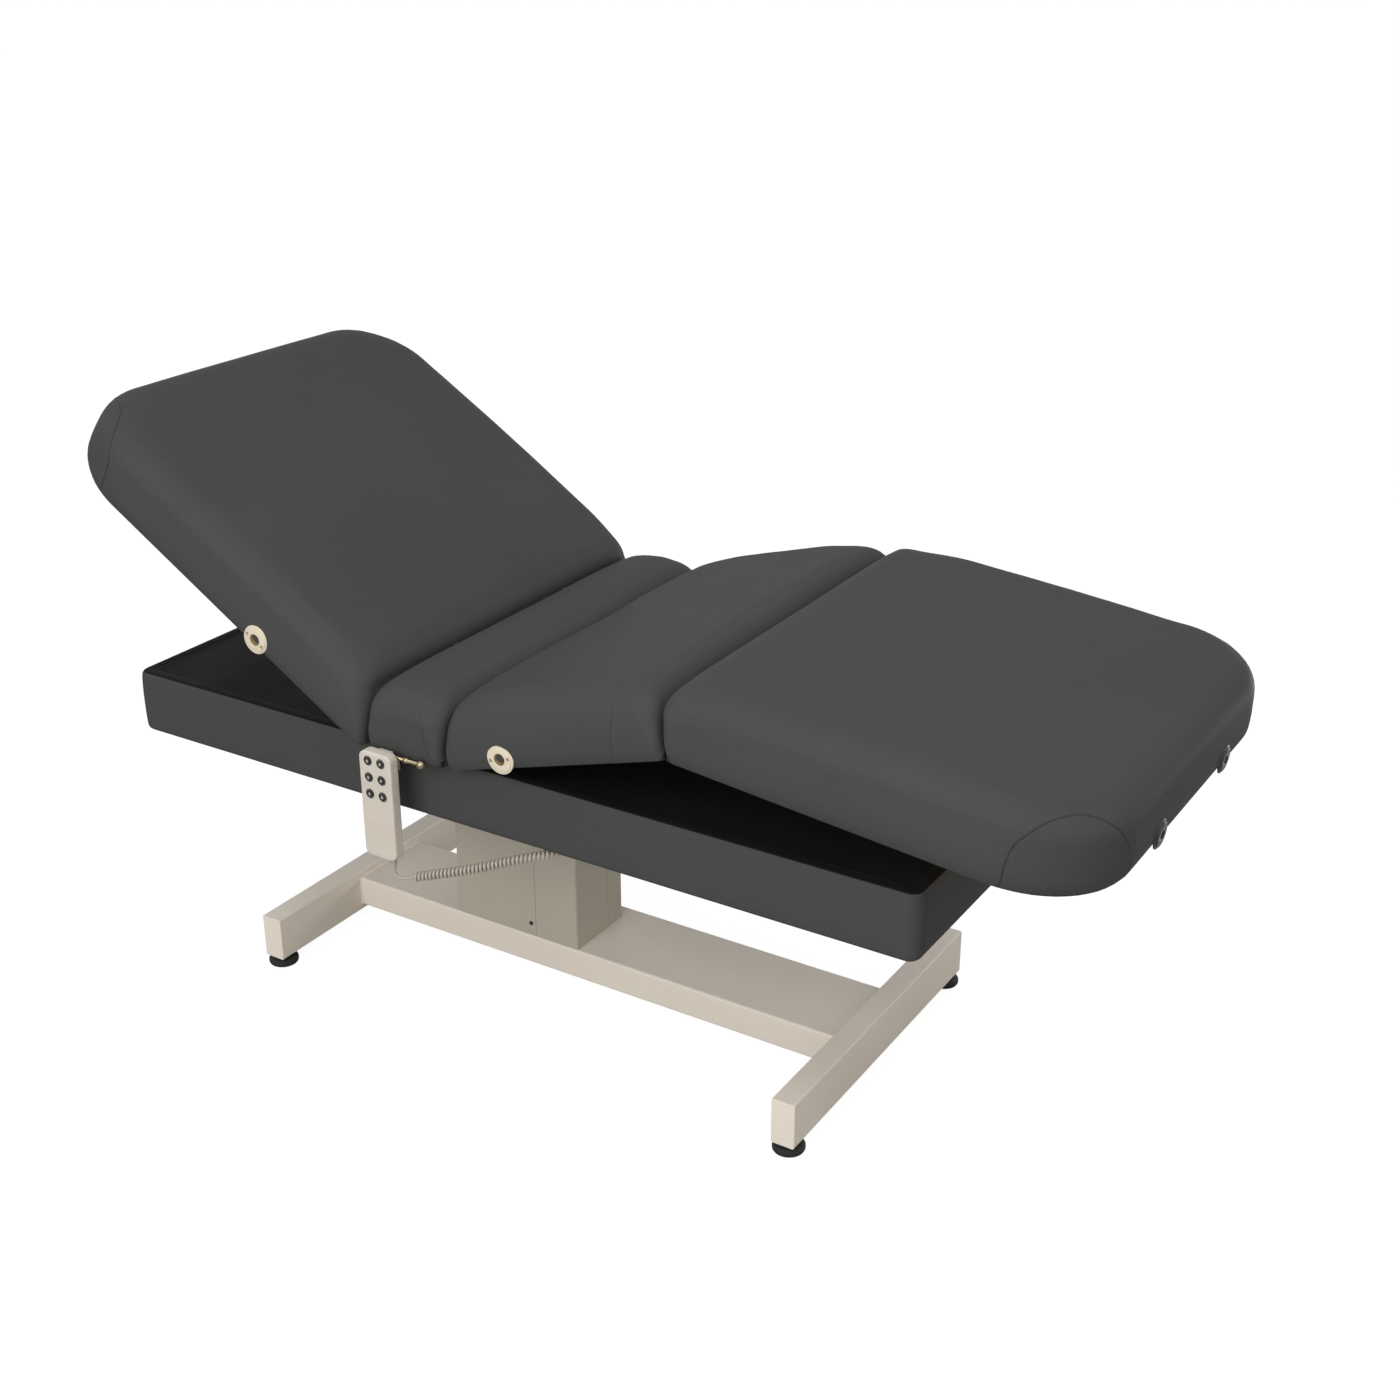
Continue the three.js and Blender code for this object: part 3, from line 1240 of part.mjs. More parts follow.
// Tube of five sides round the centre line, with its end faces square to it.
function cordGeometry(points) {
  const { wire, sides } = cord;
  const positions = [];
  const lastPoint = points.length - 1;
  const direction = (i) => {
    const atEnd = i <= 1 || i >= lastPoint - 1;
    const a = points[i <= 1 ? 0 : i - 1];
    const b = points[atEnd ? (i <= 1 ? 1 : lastPoint) : i + 1];
    return new THREE.Vector3().subVectors(b, a).normalize();
  };
  let side = new THREE.Vector3(1, 0, 0);
  points.forEach((point, i) => {
    const along = direction(i);
    side = side.clone().addScaledVector(along, -side.dot(along)).normalize();
    const up = new THREE.Vector3().crossVectors(along, side);
    for (let s = 0; s < sides; s += 1) {
      const a = (2 * Math.PI * s) / sides;
      const rim = point.clone().addScaledVector(side, wire * Math.cos(a)).addScaledVector(up, wire * Math.sin(a));
      positions.push(rim.x, rim.y, rim.z);
    }
  });
  return loftGeometry(positions, sides, points.length);
}

// Least distance between strands that aren't neighbours along the cord, less the cord's own diameter.
function leastCordGap(points) {
  let least = Infinity;
  for (let i = 0; i < points.length; i += 1) {
    for (let j = i + Math.ceil(cord.stepsPerCurl * 0.6); j < Math.min(points.length, i + 30); j += 1) {
      least = Math.min(least, points[i].distanceTo(points[j]));
    }
  }
  return least - 2 * cord.wire;
}

const cordLine = cordPoints();
console.log(`least gap of the handset cord to itself: ${leastCordGap(cordLine).toFixed(2)} mm`);
place(topGroup, "handset_cord", "cordPlastic", cordGeometry(cordLine));

// The origin goes on the floor under the middle of everything but the cord.
const bounds = new THREE.Box3();
table.updateMatrixWorld(true);
table.traverse((object) => {
  if (!object.isMesh || object.name === "handset_cord") return;
  object.geometry.computeBoundingBox();
  const p = object.geometry.attributes.position;
  const v = new THREE.Vector3();
  for (let i = 0; i < p.count; i += 1) bounds.expandByPoint(v.fromBufferAttribute(p, i).applyMatrix4(object.matrixWorld));
});
const middle = bounds.getCenter(new THREE.Vector3());
table.position.set(-middle.x, -middle.y, -bounds.min.z);

const part = new THREE.Group();
part.add(table);
export default part;
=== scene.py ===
from math import atan2, copysign, cos, exp, hypot, pi, radians, sin, sqrt, tan, tau
import bpy
import bmesh
import numpy as np
from mathutils import Matrix, Vector, noise
from mathutils.bvhtree import BVHTree


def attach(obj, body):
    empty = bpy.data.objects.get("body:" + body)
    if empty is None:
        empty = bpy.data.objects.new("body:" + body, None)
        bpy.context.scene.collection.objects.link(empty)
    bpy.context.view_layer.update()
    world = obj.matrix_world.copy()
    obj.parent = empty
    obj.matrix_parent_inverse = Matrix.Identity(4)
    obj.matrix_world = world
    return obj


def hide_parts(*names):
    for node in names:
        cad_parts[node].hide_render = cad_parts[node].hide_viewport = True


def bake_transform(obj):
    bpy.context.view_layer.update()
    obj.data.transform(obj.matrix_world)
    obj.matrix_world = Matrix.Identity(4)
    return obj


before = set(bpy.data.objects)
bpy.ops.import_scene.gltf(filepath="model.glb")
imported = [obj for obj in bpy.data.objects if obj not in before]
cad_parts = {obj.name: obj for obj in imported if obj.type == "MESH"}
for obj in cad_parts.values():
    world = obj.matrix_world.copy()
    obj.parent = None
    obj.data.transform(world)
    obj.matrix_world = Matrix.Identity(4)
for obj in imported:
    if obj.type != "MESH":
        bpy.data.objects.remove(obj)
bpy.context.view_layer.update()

mm = 0.001
# The table is drawn in millimetres about its skirt's middle, and this moves it to the row frame.
fromTable = Vector((-76.4848, 14.35, 0))
scene = bpy.context.scene
toFoot, toFar, upward = Vector((1, 0, 0)), Vector((0, 1, 0)), Vector((0, 0, 1))
bothSides = (("near", -1), ("far", 1))


def row(x, y, z):
    return (Vector((x, y, z)) + fromTable) * mm


def clamp(value, low=0, high=1):
    return min(max(value, low), high)


# Camera, at the photograph's viewing angle

cameraView = {"place": (1574.4, -2379.1, 1814.1), "yaw": 31.62, "pitch": 23.9, "roll": 0.07, "lens": 49.41}

yaw, pitch, roll = (radians(cameraView[k]) for k in ("yaw", "pitch", "roll"))
cameraData = bpy.data.cameras.new("camera")
cameraData.lens = cameraView["lens"]
cameraData.sensor_width = 36
cameraData.clip_end = 60
camera = bpy.data.objects.new("camera", cameraData)
scene.collection.objects.link(camera)
camera.matrix_world = (Matrix.Translation(Vector(cameraView["place"]) * mm) @ Matrix.Rotation(yaw, 4, "Z")
                       @ Matrix.Rotation(pi / 2 - pitch, 4, "X") @ Matrix.Rotation(roll, 4, "Z"))
scene.camera = camera
print("camera set")


# Materials

def colour(code):
    parts = [int(code[i:i + 2], 16) / 255 for i in (1, 3, 5)]
    return [p / 12.92 if p <= 0.04045 else ((p + 0.055) / 1.055) ** 2.4 for p in parts] + [1]


def emptied(holder):
    holder.use_nodes = True
    holder.node_tree.nodes.clear()
    return holder


def addNode(paint, kind, settings={}, inputs={}):
    tree = paint.node_tree
    node = tree.nodes.new("ShaderNode" + kind)
    for key, value in settings.items():
        setattr(node, key, value)
    for key, value in inputs.items():
        if isinstance(value, bpy.types.NodeSocket):
            tree.links.new(value, node.inputs[key])
        else:
            node.inputs[key].default_value = value
    return node


def feed(paint, shader, sources):
    for name, source in sources.items():
        paint.node_tree.links.new(source, shader.inputs[name])


# A noise whose patches are about so many millimetres wide.
def addNoise(paint, place, patch, inputs):
    inputs = {"Vector": place, "Scale": 1000 / patch, **inputs}
    return addNode(paint, "TexNoise", inputs=inputs).outputs["Fac"]


def addMix(paint, share, first, second):
    return addNode(paint, "Mix", {"data_type": "RGBA"}, {0: share, 6: first, 7: second}).outputs[2]


def addRange(paint, value, given=(0, 1), wanted=(0, 1)):
    inputs = {"Value": value, "From Min": given[0], "From Max": given[1], "To Min": wanted[0], "To Max": wanted[1]}
    return addNode(paint, "MapRange", inputs=inputs).outputs[0]


def addBump(paint, height, strength, depth, more={}):
    inputs = {"Height": height, "Strength": strength, "Distance": depth * mm, **more}
    return addNode(paint, "Bump", inputs=inputs).outputs[0]


def addMapping(paint, place, scale):
    return addNode(paint, "Mapping", inputs={"Vector": place, "Scale": scale}).outputs[0]


def newMaterial(name, settings):
    paint = emptied(bpy.data.materials.new(name))
    shader = addNode(paint, "BsdfPrincipled", inputs=settings)
    addNode(paint, "OutputMaterial", inputs={"Surface": shader.outputs[0]})
    place = addNode(paint, "TexCoord").outputs["Object"]
    return paint, shader, place


# Two tones mixed by a slow noise, the roughness that goes with it, and one fine bump, as grain or as cells.
def finished(name, tones, roughness, patch, grain, bump, depth, settings, cells=False):
    paint, shader, place = newMaterial(name, settings)
    slow = addNoise(paint, place, patch, {"Detail": 3})
    tone = addMix(paint, slow, colour(tones[0]), colour(tones[1]))
    if cells:
        inputs = {"Vector": place, "Scale": 1000 / grain, "Smoothness": 0.6}
        fine = addNode(paint, "TexVoronoi", {"feature": "SMOOTH_F1"}, inputs).outputs["Distance"]
    else:
        fine = addNoise(paint, place, grain, {"Detail": 2})
    normal = addBump(paint, fine, bump, depth)
    gloss = addRange(paint, slow, (0.3, 0.7), roughness)
    feed(paint, shader, {"Base Color": tone, "Roughness": gloss, "Normal": normal})
    return paint, shader, place, tone, normal, fine


def plain(*look, **sizes):
    return finished(*look, **sizes)[0]


# PVC leathercloth, embossed and calendered: a soft broad sheen over a pebble grain of about 1.4 mm, drawn at 2 mm.
def pvcLeathercloth():
    paint, shader, place, tone, normal, fine = finished(
        "embossedPvcLeathercloth", ("#444444", "#494949"), (0.5, 0.56), patch=190, grain=2, bump=0.24, depth=0.25,
        settings={"IOR": 1.52, "Specular IOR Level": 0.015}, cells=True)
    crease = addNoise(paint, place, 34, {"Detail": 4, "Distortion": 0.6})
    slack = addBump(paint, crease, 0.12, 0.6, {"Normal": normal})  # slack of the cover over the foam
    # The grain's hollows a little darker and its tops a little lighter: painted shade and painted highlight in the
    # grain.
    grainShade = addRange(paint, fine, (0, 0.7), (0.93, 1.04))
    hollowShaded = addNode(paint, "VectorMath", {"operation": "SCALE"}, {0: tone, "Scale": grainShade})
    feed(paint, shader, {"Base Color": hollowShaded.outputs[0], "Normal": slack})
    return paint


# Powder coat, sprayed and baked: satin or matt, with an orange peel of a few millimetres and small handling marks.
def powderCoat(name, tones, roughness, marks, peel=2.5):
    coat = finished(name, tones, roughness, patch=220, grain=peel, bump=0.13, depth=0.12,
                    settings={"IOR": 1.5, "Specular IOR Level": 0.45})
    paint, shader, place, tone = coat[:4]
    scuff = addNoise(paint, place, 26, {"Detail": 8, "Roughness": 0.75})
    worn = addRange(paint, scuff, (0.62, 0.8), (0, 0.55))
    feed(paint, shader, {"Base Color": addMix(paint, worn, tone, colour(marks))})
    return paint


# Zinc plated and drawn steel: cool grey metal with draw lines along the bar.
def drawnSteel():
    paint, shader, place = newMaterial("zincPlatedDrawnSteel", {"Metallic": 1})
    lines = addNoise(paint, addMapping(paint, place, (30, 900, 900)), 1000, {"Detail": 4})
    cloud = addNoise(paint, place, 45, {"Detail": 3})
    feed(paint, shader, {"Base Color": addMix(paint, cloud, colour("#9fa2a6"), colour("#c3c5c7")),
                            "Roughness": addRange(paint, lines, wanted=(0.24, 0.44)),
                            "Normal": addBump(paint, lines, 0.12, 0.1)})
    return paint


# Birch plywood, rotary cut and sanded: long soft grain on the faces; the edges near black over their glue lines, as
# painted shade where they show in the dark gaps under the cushions.
def birchPlywood():
    settings = {"IOR": 1.5, "Specular IOR Level": 0.3, "Roughness": 0.62}
    paint, shader, place = newMaterial("sandedBirchPlywood", settings)
    grain = addNoise(paint, addMapping(paint, place, (9, 110, 40)), 1000, {"Detail": 6, "Distortion": 0.8})
    face = addMix(paint, grain, colour("#b98f5c"), colour("#dcbf92"))
    ply = 1.5  # millimetres, and the wave texture has 20 radians to a unit
    bands = {"Vector": place, "Scale": 1000 / ply / 20 * 3.14, "Distortion": 0.6}
    layers = addNode(paint, "TexWave", {"wave_type": "BANDS", "bands_direction": "Z"}, bands).outputs["Fac"]
    # near black edge tones: painted shade for the gaps under the cushions
    edge = addMix(paint, layers, colour("#121110"), colour("#1c1a18"))
    normal = addNode(paint, "NewGeometry").outputs["Normal"]
    parts = addNode(paint, "SeparateXYZ", inputs={0: normal})
    facing = addNode(paint, "Math", {"operation": "ABSOLUTE"}, {0: parts.outputs["Z"]})
    flat = addRange(paint, facing.outputs[0], (0.35, 0.6))
    feed(paint, shader, {"Base Color": addMix(paint, flat, edge, face),
                            "Normal": addBump(paint, grain, 0.15, 0.2)})
    return paint


# Moulded plastics: an even skin with a spark eroded texture of about a millimetre.
def mouldedPlastic(name, tones, roughness, ior=1.53, grain=0.9, bump=0.16):
    return plain(name, tones, roughness, patch=38, grain=grain, bump=bump, depth=0.12,
                 settings={"IOR": ior, "Specular IOR Level": 0.5})


paints = {
    "vinyl": pvcLeathercloth(),
    # The folded seam of the same cover, darker along the valley: painted shade, with a little dust.
    "seam": plain("foldedSeamVinyl", ("#2a2a2a", "#333333"), (0.55, 0.65), patch=40, grain=1.2, bump=0.2, depth=0.15,
                  settings={"IOR": 1.52, "Specular IOR Level": 0.2}),
    # Bonded polyester thread, twisted: fine slanting plies that catch a little light.
    "thread": plain("twistedPolyesterThread", ("#2a2b2d", "#3b3c3e"), (0.55, 0.7), patch=30, grain=0.5, bump=0.5,
                    depth=0.1, settings={"IOR": 1.54, "Sheen Weight": 0.2}),
    "cream": powderCoat("creamPowderCoat", ("#e0d6c8", "#e6ddd0"), (0.42, 0.52), "#cfc5b5"),
    "cover": powderCoat("greySheetPowderCoat", ("#aca596", "#b4ad9f"), (0.42, 0.52), "#9a9284"),
    "black": powderCoat("mattBlackPowderCoat", ("#141516", "#1b1c1d"), (0.62, 0.74), "#232323"),
    "screwBronze": powderCoat("bronzedScrewSteel", ("#6b5636", "#86703f"), (0.4, 0.5), "#4a3c26", peel=1),
    "steel": drawnSteel(),
    # Moulded rubber: nearly matt, a little dusty, with a fine mould texture.
    "rubber": plain("mouldedBlackRubber", ("#131313", "#202020"), (0.72, 0.86), patch=25, grain=1.5, bump=0.3,
                    depth=0.2, settings={"IOR": 1.52, "Specular IOR Level": 0.4}),
    "plywood": birchPlywood(),
    "flange": mouldedPlastic("mouldedCreamNylon", ("#d0c4ab", "#d9cfba"), (0.34, 0.46)),
    "blackAbs": mouldedPlastic("mouldedBlackAbs", ("#141415", "#1e1e1f"), (0.36, 0.5)),
    "handset": mouldedPlastic("mouldedWarmGreyAbs", ("#c2b8ac", "#cdc4b9"), (0.36, 0.47)),
    "silicone": mouldedPlastic("mouldedBlackSilicone", ("#17171a", "#232326"), (0.5, 0.62), ior=1.43),
    "ink": mouldedPlastic("printedWhiteInk", ("#a5a199", "#b3afa7"), (0.5, 0.6), grain=0.4, bump=0.05),
    # The cord's warm grey is set darker, in part as painted shade of the table over the coil.
    "cord": mouldedPlastic("extrudedPolyurethaneCord", ("#a0988b", "#b1a99c"), (0.42, 0.54), ior=1.5, grain=2,
                           bump=0.08),
    # Drawn brass wire, lacquered: warm metal with darker tarnish in slow patches.
    "brass": plain("lacqueredBrassWire", ("#70664e", "#b3a684"), (0.26, 0.42), patch=9, grain=0.8, bump=0.08,
                   depth=0.08, settings={"Metallic": 1, "Coat Weight": 0.3}),
    # Lacquered fibreboard, rolled on: dull black with a fine fibre. On the skirt cover's upward faces the same black
    # is painted shade.
    "deck": plain("lacqueredBlackFibreboard", ("#0d0d0d", "#151515"), (0.7, 0.82), patch=120, grain=1.6, bump=0.25,
                  depth=0.15, settings={"IOR": 1.5, "Specular IOR Level": 0.12}),
}
print("materials made:", len(paints))


# Mesh helpers

def placed(name, mesh, paint, body, smooth=True):
    for face in mesh.polygons:
        face.use_smooth = smooth
    mesh.materials.append(paints[paint])
    piece = bpy.data.objects.new(name, mesh)
    scene.collection.objects.link(piece)
    if body:
        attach(piece, body)
    return piece


def addPiece(name, points, faces, paint, body, smooth=True):
    mesh = bpy.data.meshes.new(name)
    mesh.from_pydata([tuple(p) for p in points], [], faces)
    mesh.validate()
    work = bmesh.new()
    work.from_mesh(mesh)
    bmesh.ops.recalc_face_normals(work, faces=work.faces)
    work.to_mesh(mesh)
    work.free()
    return placed(name, mesh, paint, body, smooth)


# Quads between loops of equal length, with a fan to a point at each end that has one.
def loftFaces(count, loops, startPoint=False, endPoint=False):
    faces = []
    first = 1 if startPoint else 0
    for r in range(loops - 1):
        for i in range(count):
            j = (i + 1) % count
            a = first + r * count
            faces.append((a + i, a + j, a + count + j, a + count + i))
    if startPoint:
        faces += [(0, 1 + (i + 1) % count, 1 + i) for i in range(count)]
    if endPoint:
        last = first + (loops - 1) * count
        faces += [(last + i, last + (i + 1) % count, last + count) for i in range(count)]
    return faces


# Smooth shading with crisp edges where two faces meet at more than an angle.
def sharpen(piece, degrees):
    work = bmesh.new()
    work.from_mesh(piece.data)
    limit = radians(degrees)
    for edge in work.edges:
        if len(edge.link_faces) == 2:
            edge.smooth = edge.calc_face_angle(0) < limit
    work.to_mesh(piece.data)
    work.free()


# A solid of revolution from (radius, height) pairs that start and end on the axis.
def turned(name, profile, matrix, paint, body, sides=48):
    points = [matrix @ Vector((0, 0, profile[0][1] * mm))]
    for radius, height in profile[1:-1]:
        for i in range(sides):
            a = tau * i / sides
            points.append(matrix @ Vector((radius * cos(a) * mm, radius * sin(a) * mm, height * mm)))
    points.append(matrix @ Vector((0, 0, profile[-1][1] * mm)))
    piece = addPiece(name, points, loftFaces(sides, len(profile) - 2, True, True), paint, body)
    sharpen(piece, 35)
    return piece


# The place and turn of a piece whose own z axis points outward.
def aimed(place, outward, around=upward):
    z = Vector(outward).normalized()
    x = around.cross(z)
    if x.length < 1e-5:
        x = toFoot.cross(z)
    x.normalize()
    matrix = Matrix((x, z.cross(x), z)).transposed().to_4x4()
    matrix.translation = place
    return matrix


# A round bar along points, with rings square to the path. The radius is one number, or one for each point.
def bar(name, path, radii, paint, body, sides=12):
    points, normal = [path[0]], None
    for i, p in enumerate(path):
        tangent = (path[min(i + 1, len(path) - 1)] - path[max(i - 1, 0)]).normalized()
        if normal is None:
            normal = tangent.orthogonal().normalized()
        normal = (normal - tangent * normal.dot(tangent)).normalized()
        across = tangent.cross(normal)
        radius = radii[i] if isinstance(radii, list) else radii
        for k in range(sides):
            a = tau * k / sides
            points.append(p + (normal * cos(a) + across * sin(a)) * radius)
    points.append(path[-1])
    return addPiece(name, points, loftFaces(sides, len(path), True, True), paint, body)


# A block with rounded edges, drawn in the table's own millimetres.
def roundedBox(name, low, high, paint, body, bevel):
    mesh = bpy.data.meshes.new(name)
    work = bmesh.new()
    bmesh.ops.create_cube(work, size=1)
    for v in work.verts:
        v.co = row(*[low[k] if v.co[k] < 0 else high[k] for k in range(3)])
    bmesh.ops.bevel(work, geom=list(work.edges), offset=bevel * mm, segments=3, profile=0.5, affect="EDGES")
    work.to_mesh(mesh)
    work.free()
    piece = placed(name, mesh, paint, body)
    sharpen(piece, 50)
    return piece


# A curve through points, with so many steps between two of them.
def smoothPath(points, steps):
    vectors = [Vector(p) for p in points]
    result = []
    for i in range(len(vectors) - 1):
        p0, p3 = vectors[max(i - 1, 0)], vectors[min(i + 2, len(vectors) - 1)]
        p1, p2 = vectors[i], vectors[i + 1]
        for s in range(steps):
            t = s / steps
            result.append(0.5 * ((2 * p1) + (p2 - p0) * t + (2 * p0 - 5 * p1 + 4 * p2 - p3) * t * t
                                 + (3 * p1 - p0 - 3 * p2 + p3) * t ** 3))
    return result + [vectors[-1]]


# The same line in steps of one length.
def evenly(points, count):
    lengths = [0]
    for a, b in zip(points, points[1:]):
        lengths.append(lengths[-1] + (b - a).length)
    result, k = [], 0
    for i in range(count + 1):
        target = lengths[-1] * i / count
        while k < len(lengths) - 2 and lengths[k + 1] < target:
            k += 1
        t = (target - lengths[k]) / max(lengths[k + 1] - lengths[k], 1e-9)
        result.append(points[k].lerp(points[k + 1], clamp(t)))
    return result


corners = ((-1, -1, 180), (1, -1, 270), (1, 1, 0), (-1, 1, 90))  # side along, side across, and where its arc starts


def quarterArc(x, y, radius, start, steps=10):
    angles = [radians(start + 90 * i / steps) for i in range(steps + 1)]
    return [(x + radius * cos(a), y + radius * sin(a)) for a in angles]


# A closed outline of four corner arcs, with so many steps along the straight side after each.
def joinedArcs(arcs, sideSteps):
    loop = []
    for k, steps in enumerate(sideSteps):
        (ax, ay), (bx, by) = arcs[k][-1], arcs[(k + 1) % 4][0]
        loop += arcs[k] + [(ax + (bx - ax) * i / steps, ay + (by - ay) * i / steps) for i in range(1, steps)]
    return loop


def onLoop(loop, height):
    return [(x, y, height) for x, y in loop]


# Handset cord: a curly cord from the handset's strain relief to the socket of the control box

handsetCord = {"wire": 2.4, "coil": 8, "curls": 40, "perCurl": 16, "easeOver": 14, "easeFrom": 0.12, "leadSteps": 8,
               "start": (-133, -403, 363.7),
               "lead": [(-133, -403, 357), (-130, -402.5, 350), (-120, -400, 346.5)],
               "coilRoute": [(-104, -396, 350), (-50, -385, 368), (0, -371, 384), (60, -350, 406), (110, -326, 420),
                             (138, -303, 429)],
               "tail": [(154, -286, 442), (163, -272, 464), (168.7, -258, 495), (173.7, -255, 500)],
               "finish": (179.7, -255, 500), "stretchEnd": (60, -350, 406)}


def cordLine():
    radius = handsetCord["coil"] - handsetCord["wire"]
    turns = handsetCord["curls"] * handsetCord["perCurl"]
    axis = evenly(smoothPath(handsetCord["coilRoute"], 24), turns)
    helix = []
    for i, p in enumerate(axis):
        tangent = (axis[min(i + 1, turns)] - axis[max(i - 1, 0)]).normalized()
        side = tangent.cross(upward).normalized()
        over = side.cross(tangent)
        ease = min(1, i / handsetCord["easeOver"], (turns - i) / handsetCord["easeOver"])
        share = handsetCord["easeFrom"] + (1 - handsetCord["easeFrom"]) * ease
        angle = tau * i / handsetCord["perCurl"] - pi / 2
        helix.append(p + (side * cos(angle) + over * sin(angle)) * radius * share)
    # Both plain ends are drawn a little way into the coil, so that they meet it in its own direction, then cut there.
    steps = handsetCord["leadSteps"]
    before = smoothPath([handsetCord["start"], *handsetCord["lead"], helix[0], helix[3]], steps)[:-steps - 1]
    after = smoothPath([helix[-4], helix[-1], *handsetCord["tail"], handsetCord["finish"]], steps)[steps + 1:]
    return [row(*p) for p in [*before, *helix, *after]]


cordPath = cordLine()
cordPiece = bar("handset_curly_cord", cordPath, handsetCord["wire"] * mm, "cord", None)
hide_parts("handset_cord")
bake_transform(cordPiece)


# Upholstered cushions: foam under a tight cover, open below where the board sits

cushion = {"half": 381, "height": 108.5, "sideRound": 40, "hingeRound": 30, "hingeCorner": 14, "leastCorner": 3,
           "hem": 6, "hemRise": 22, "hemUnder": 22, "crown": 6, "crownPower": 2.4, "bulge": 1.2, "bulgeTo": 74,
           "pivot": 88.5, "nosePivot": 5, "underside": 543.6, "boardInset": 7, "room": 0.3, "pocket": 12.4, "step": 9,
           "wall": [2.2, 5, 9, 14, 20, 27, 35, 44, 52, 60, 68.5],
           "roundAngles": (8, 16, 24, 30, 36, 43, 50, 57, 64, 71, 77, 83, 90),
           "topShares": (0.985, 0.965, 0.94, 0.905, 0.86, 0.8, 0.73, 0.65, 0.56, 0.46, 0.35, 0.24, 0.12)}
upperCorner = {"gain": 16, "from": 30, "over": 60}  # the cover pulls the upper corners rounder

# In a section's own frame x runs from its hinge end, and z up from its underside. A free section has no neighbour at
# its far end. The angle is to the neighbour, and the slit stays open at the hinge.
sections = {
    "back": {"near": 2, "far": 696, "farRound": 38, "farCorner": 145, "angle": 32.1, "slit": 9, "free": True},
    "seat": {"near": 0, "far": 142.7, "farRound": 30, "farCorner": 14, "angle": 0, "slit": 0, "free": False},
    "knee": {"near": 2, "far": 387.6, "farRound": 30, "farCorner": 14, "angle": 16.5, "slit": 7, "free": False},
    "foot": {"near": 2, "far": 633, "farRound": 38, "farCorner": 145, "angle": 22.45, "slit": 9, "free": True},
}


def hinged(place, degrees, pivot, along=1):
    swing = Matrix.Rotation(radians(degrees), 4, "Y")
    return Matrix.Translation(place) @ swing @ Matrix.Diagonal((along, 1, 1, 1)) @ Matrix.Translation((0, 0, -pivot))


sectionMatrix = {
    "back": hinged((-270.885, 14.35, 632.1), 32.1, cushion["pivot"], along=-1),
    "seat": hinged((-268.885, 14.35, cushion["underside"]), 0, 0),
    "knee": hinged((-124.185, 14.35, 632.1), -16.5, cushion["pivot"]),
    "foot": hinged((273.087, 14.35, 662.691), 5.95, cushion["nosePivot"]),
}


def drawnIn(roundness, h):
    above = h - (cushion["height"] - roundness)
    return 0 if above <= 0 else roundness - sqrt(max(roundness ** 2 - above ** 2, 0))


def hemTuck(h):
    return cushion["hem"] * max(0, 1 - max(h, 0) / cushion["hemRise"]) ** 2


def belly(h):
    return cushion["bulge"] * sin(pi * clamp(h, 0, cushion["bulgeTo"]) / cushion["bulgeTo"])


def sideInset(h):
    return drawnIn(cushion["sideRound"], h) + hemTuck(h) - belly(h)


# How far the hinge end leans to its neighbour at a height, which closes the wedge of a raised section.
def lean(key, h):
    s = sections[key]
    slope = tan(radians(s["angle"]))
    if key == "foot":
        rise = cushion["height"] - cushion["hingeRound"] - cushion["nosePivot"]
        return -(rise * slope - s["slit"]) * clamp((h - cushion["nosePivot"]) / rise)
    full = cushion["pivot"] * slope - s["slit"]
    return -full * (cushion["pivot"] - h) / cushion["pivot"] if h < cushion["pivot"] else 0


def planLoop(near, far, half, nearCorner, farCorner, counts):
    arcs = [quarterArc(near + nearCorner, -half + nearCorner, nearCorner, 180, counts["nearArc"]),
            quarterArc(far - farCorner, -half + farCorner, farCorner, 270, counts["farArc"]),
            quarterArc(far - farCorner, half - farCorner, farCorner, 0, counts["farArc"]),
            quarterArc(near + nearCorner, half - nearCorner, nearCorner, 90, counts["nearArc"])]
    return joinedArcs(arcs, (counts["side"], counts["farEnd"], counts["side"], counts["nearEnd"]))


def cushionLoop(key, h, counts, extra=0):
    s, least = sections[key], cushion["leastCorner"]
    nearIn, farIn = drawnIn(cushion["hingeRound"], h), drawnIn(s["farRound"], h)
    rounder = upperCorner["gain"] * clamp((h - upperCorner["from"]) / upperCorner["over"])
    near = s["near"] + nearIn + lean(key, h) + extra
    nearCorner = max(cushion["hingeCorner"] + rounder - nearIn * 0.3 - extra, least)
    if s["free"]:
        far = s["far"] - farIn - hemTuck(h) + belly(h) - extra
        farCorner = max(s["farCorner"] - farIn - extra, least)
    else:
        far = s["far"] - farIn - extra
        farCorner = max(s["farCorner"] + rounder - farIn * 0.3 - extra, least)
    return planLoop(near, far, cushion["half"] - sideInset(h) - extra, nearCorner, farCorner, counts)


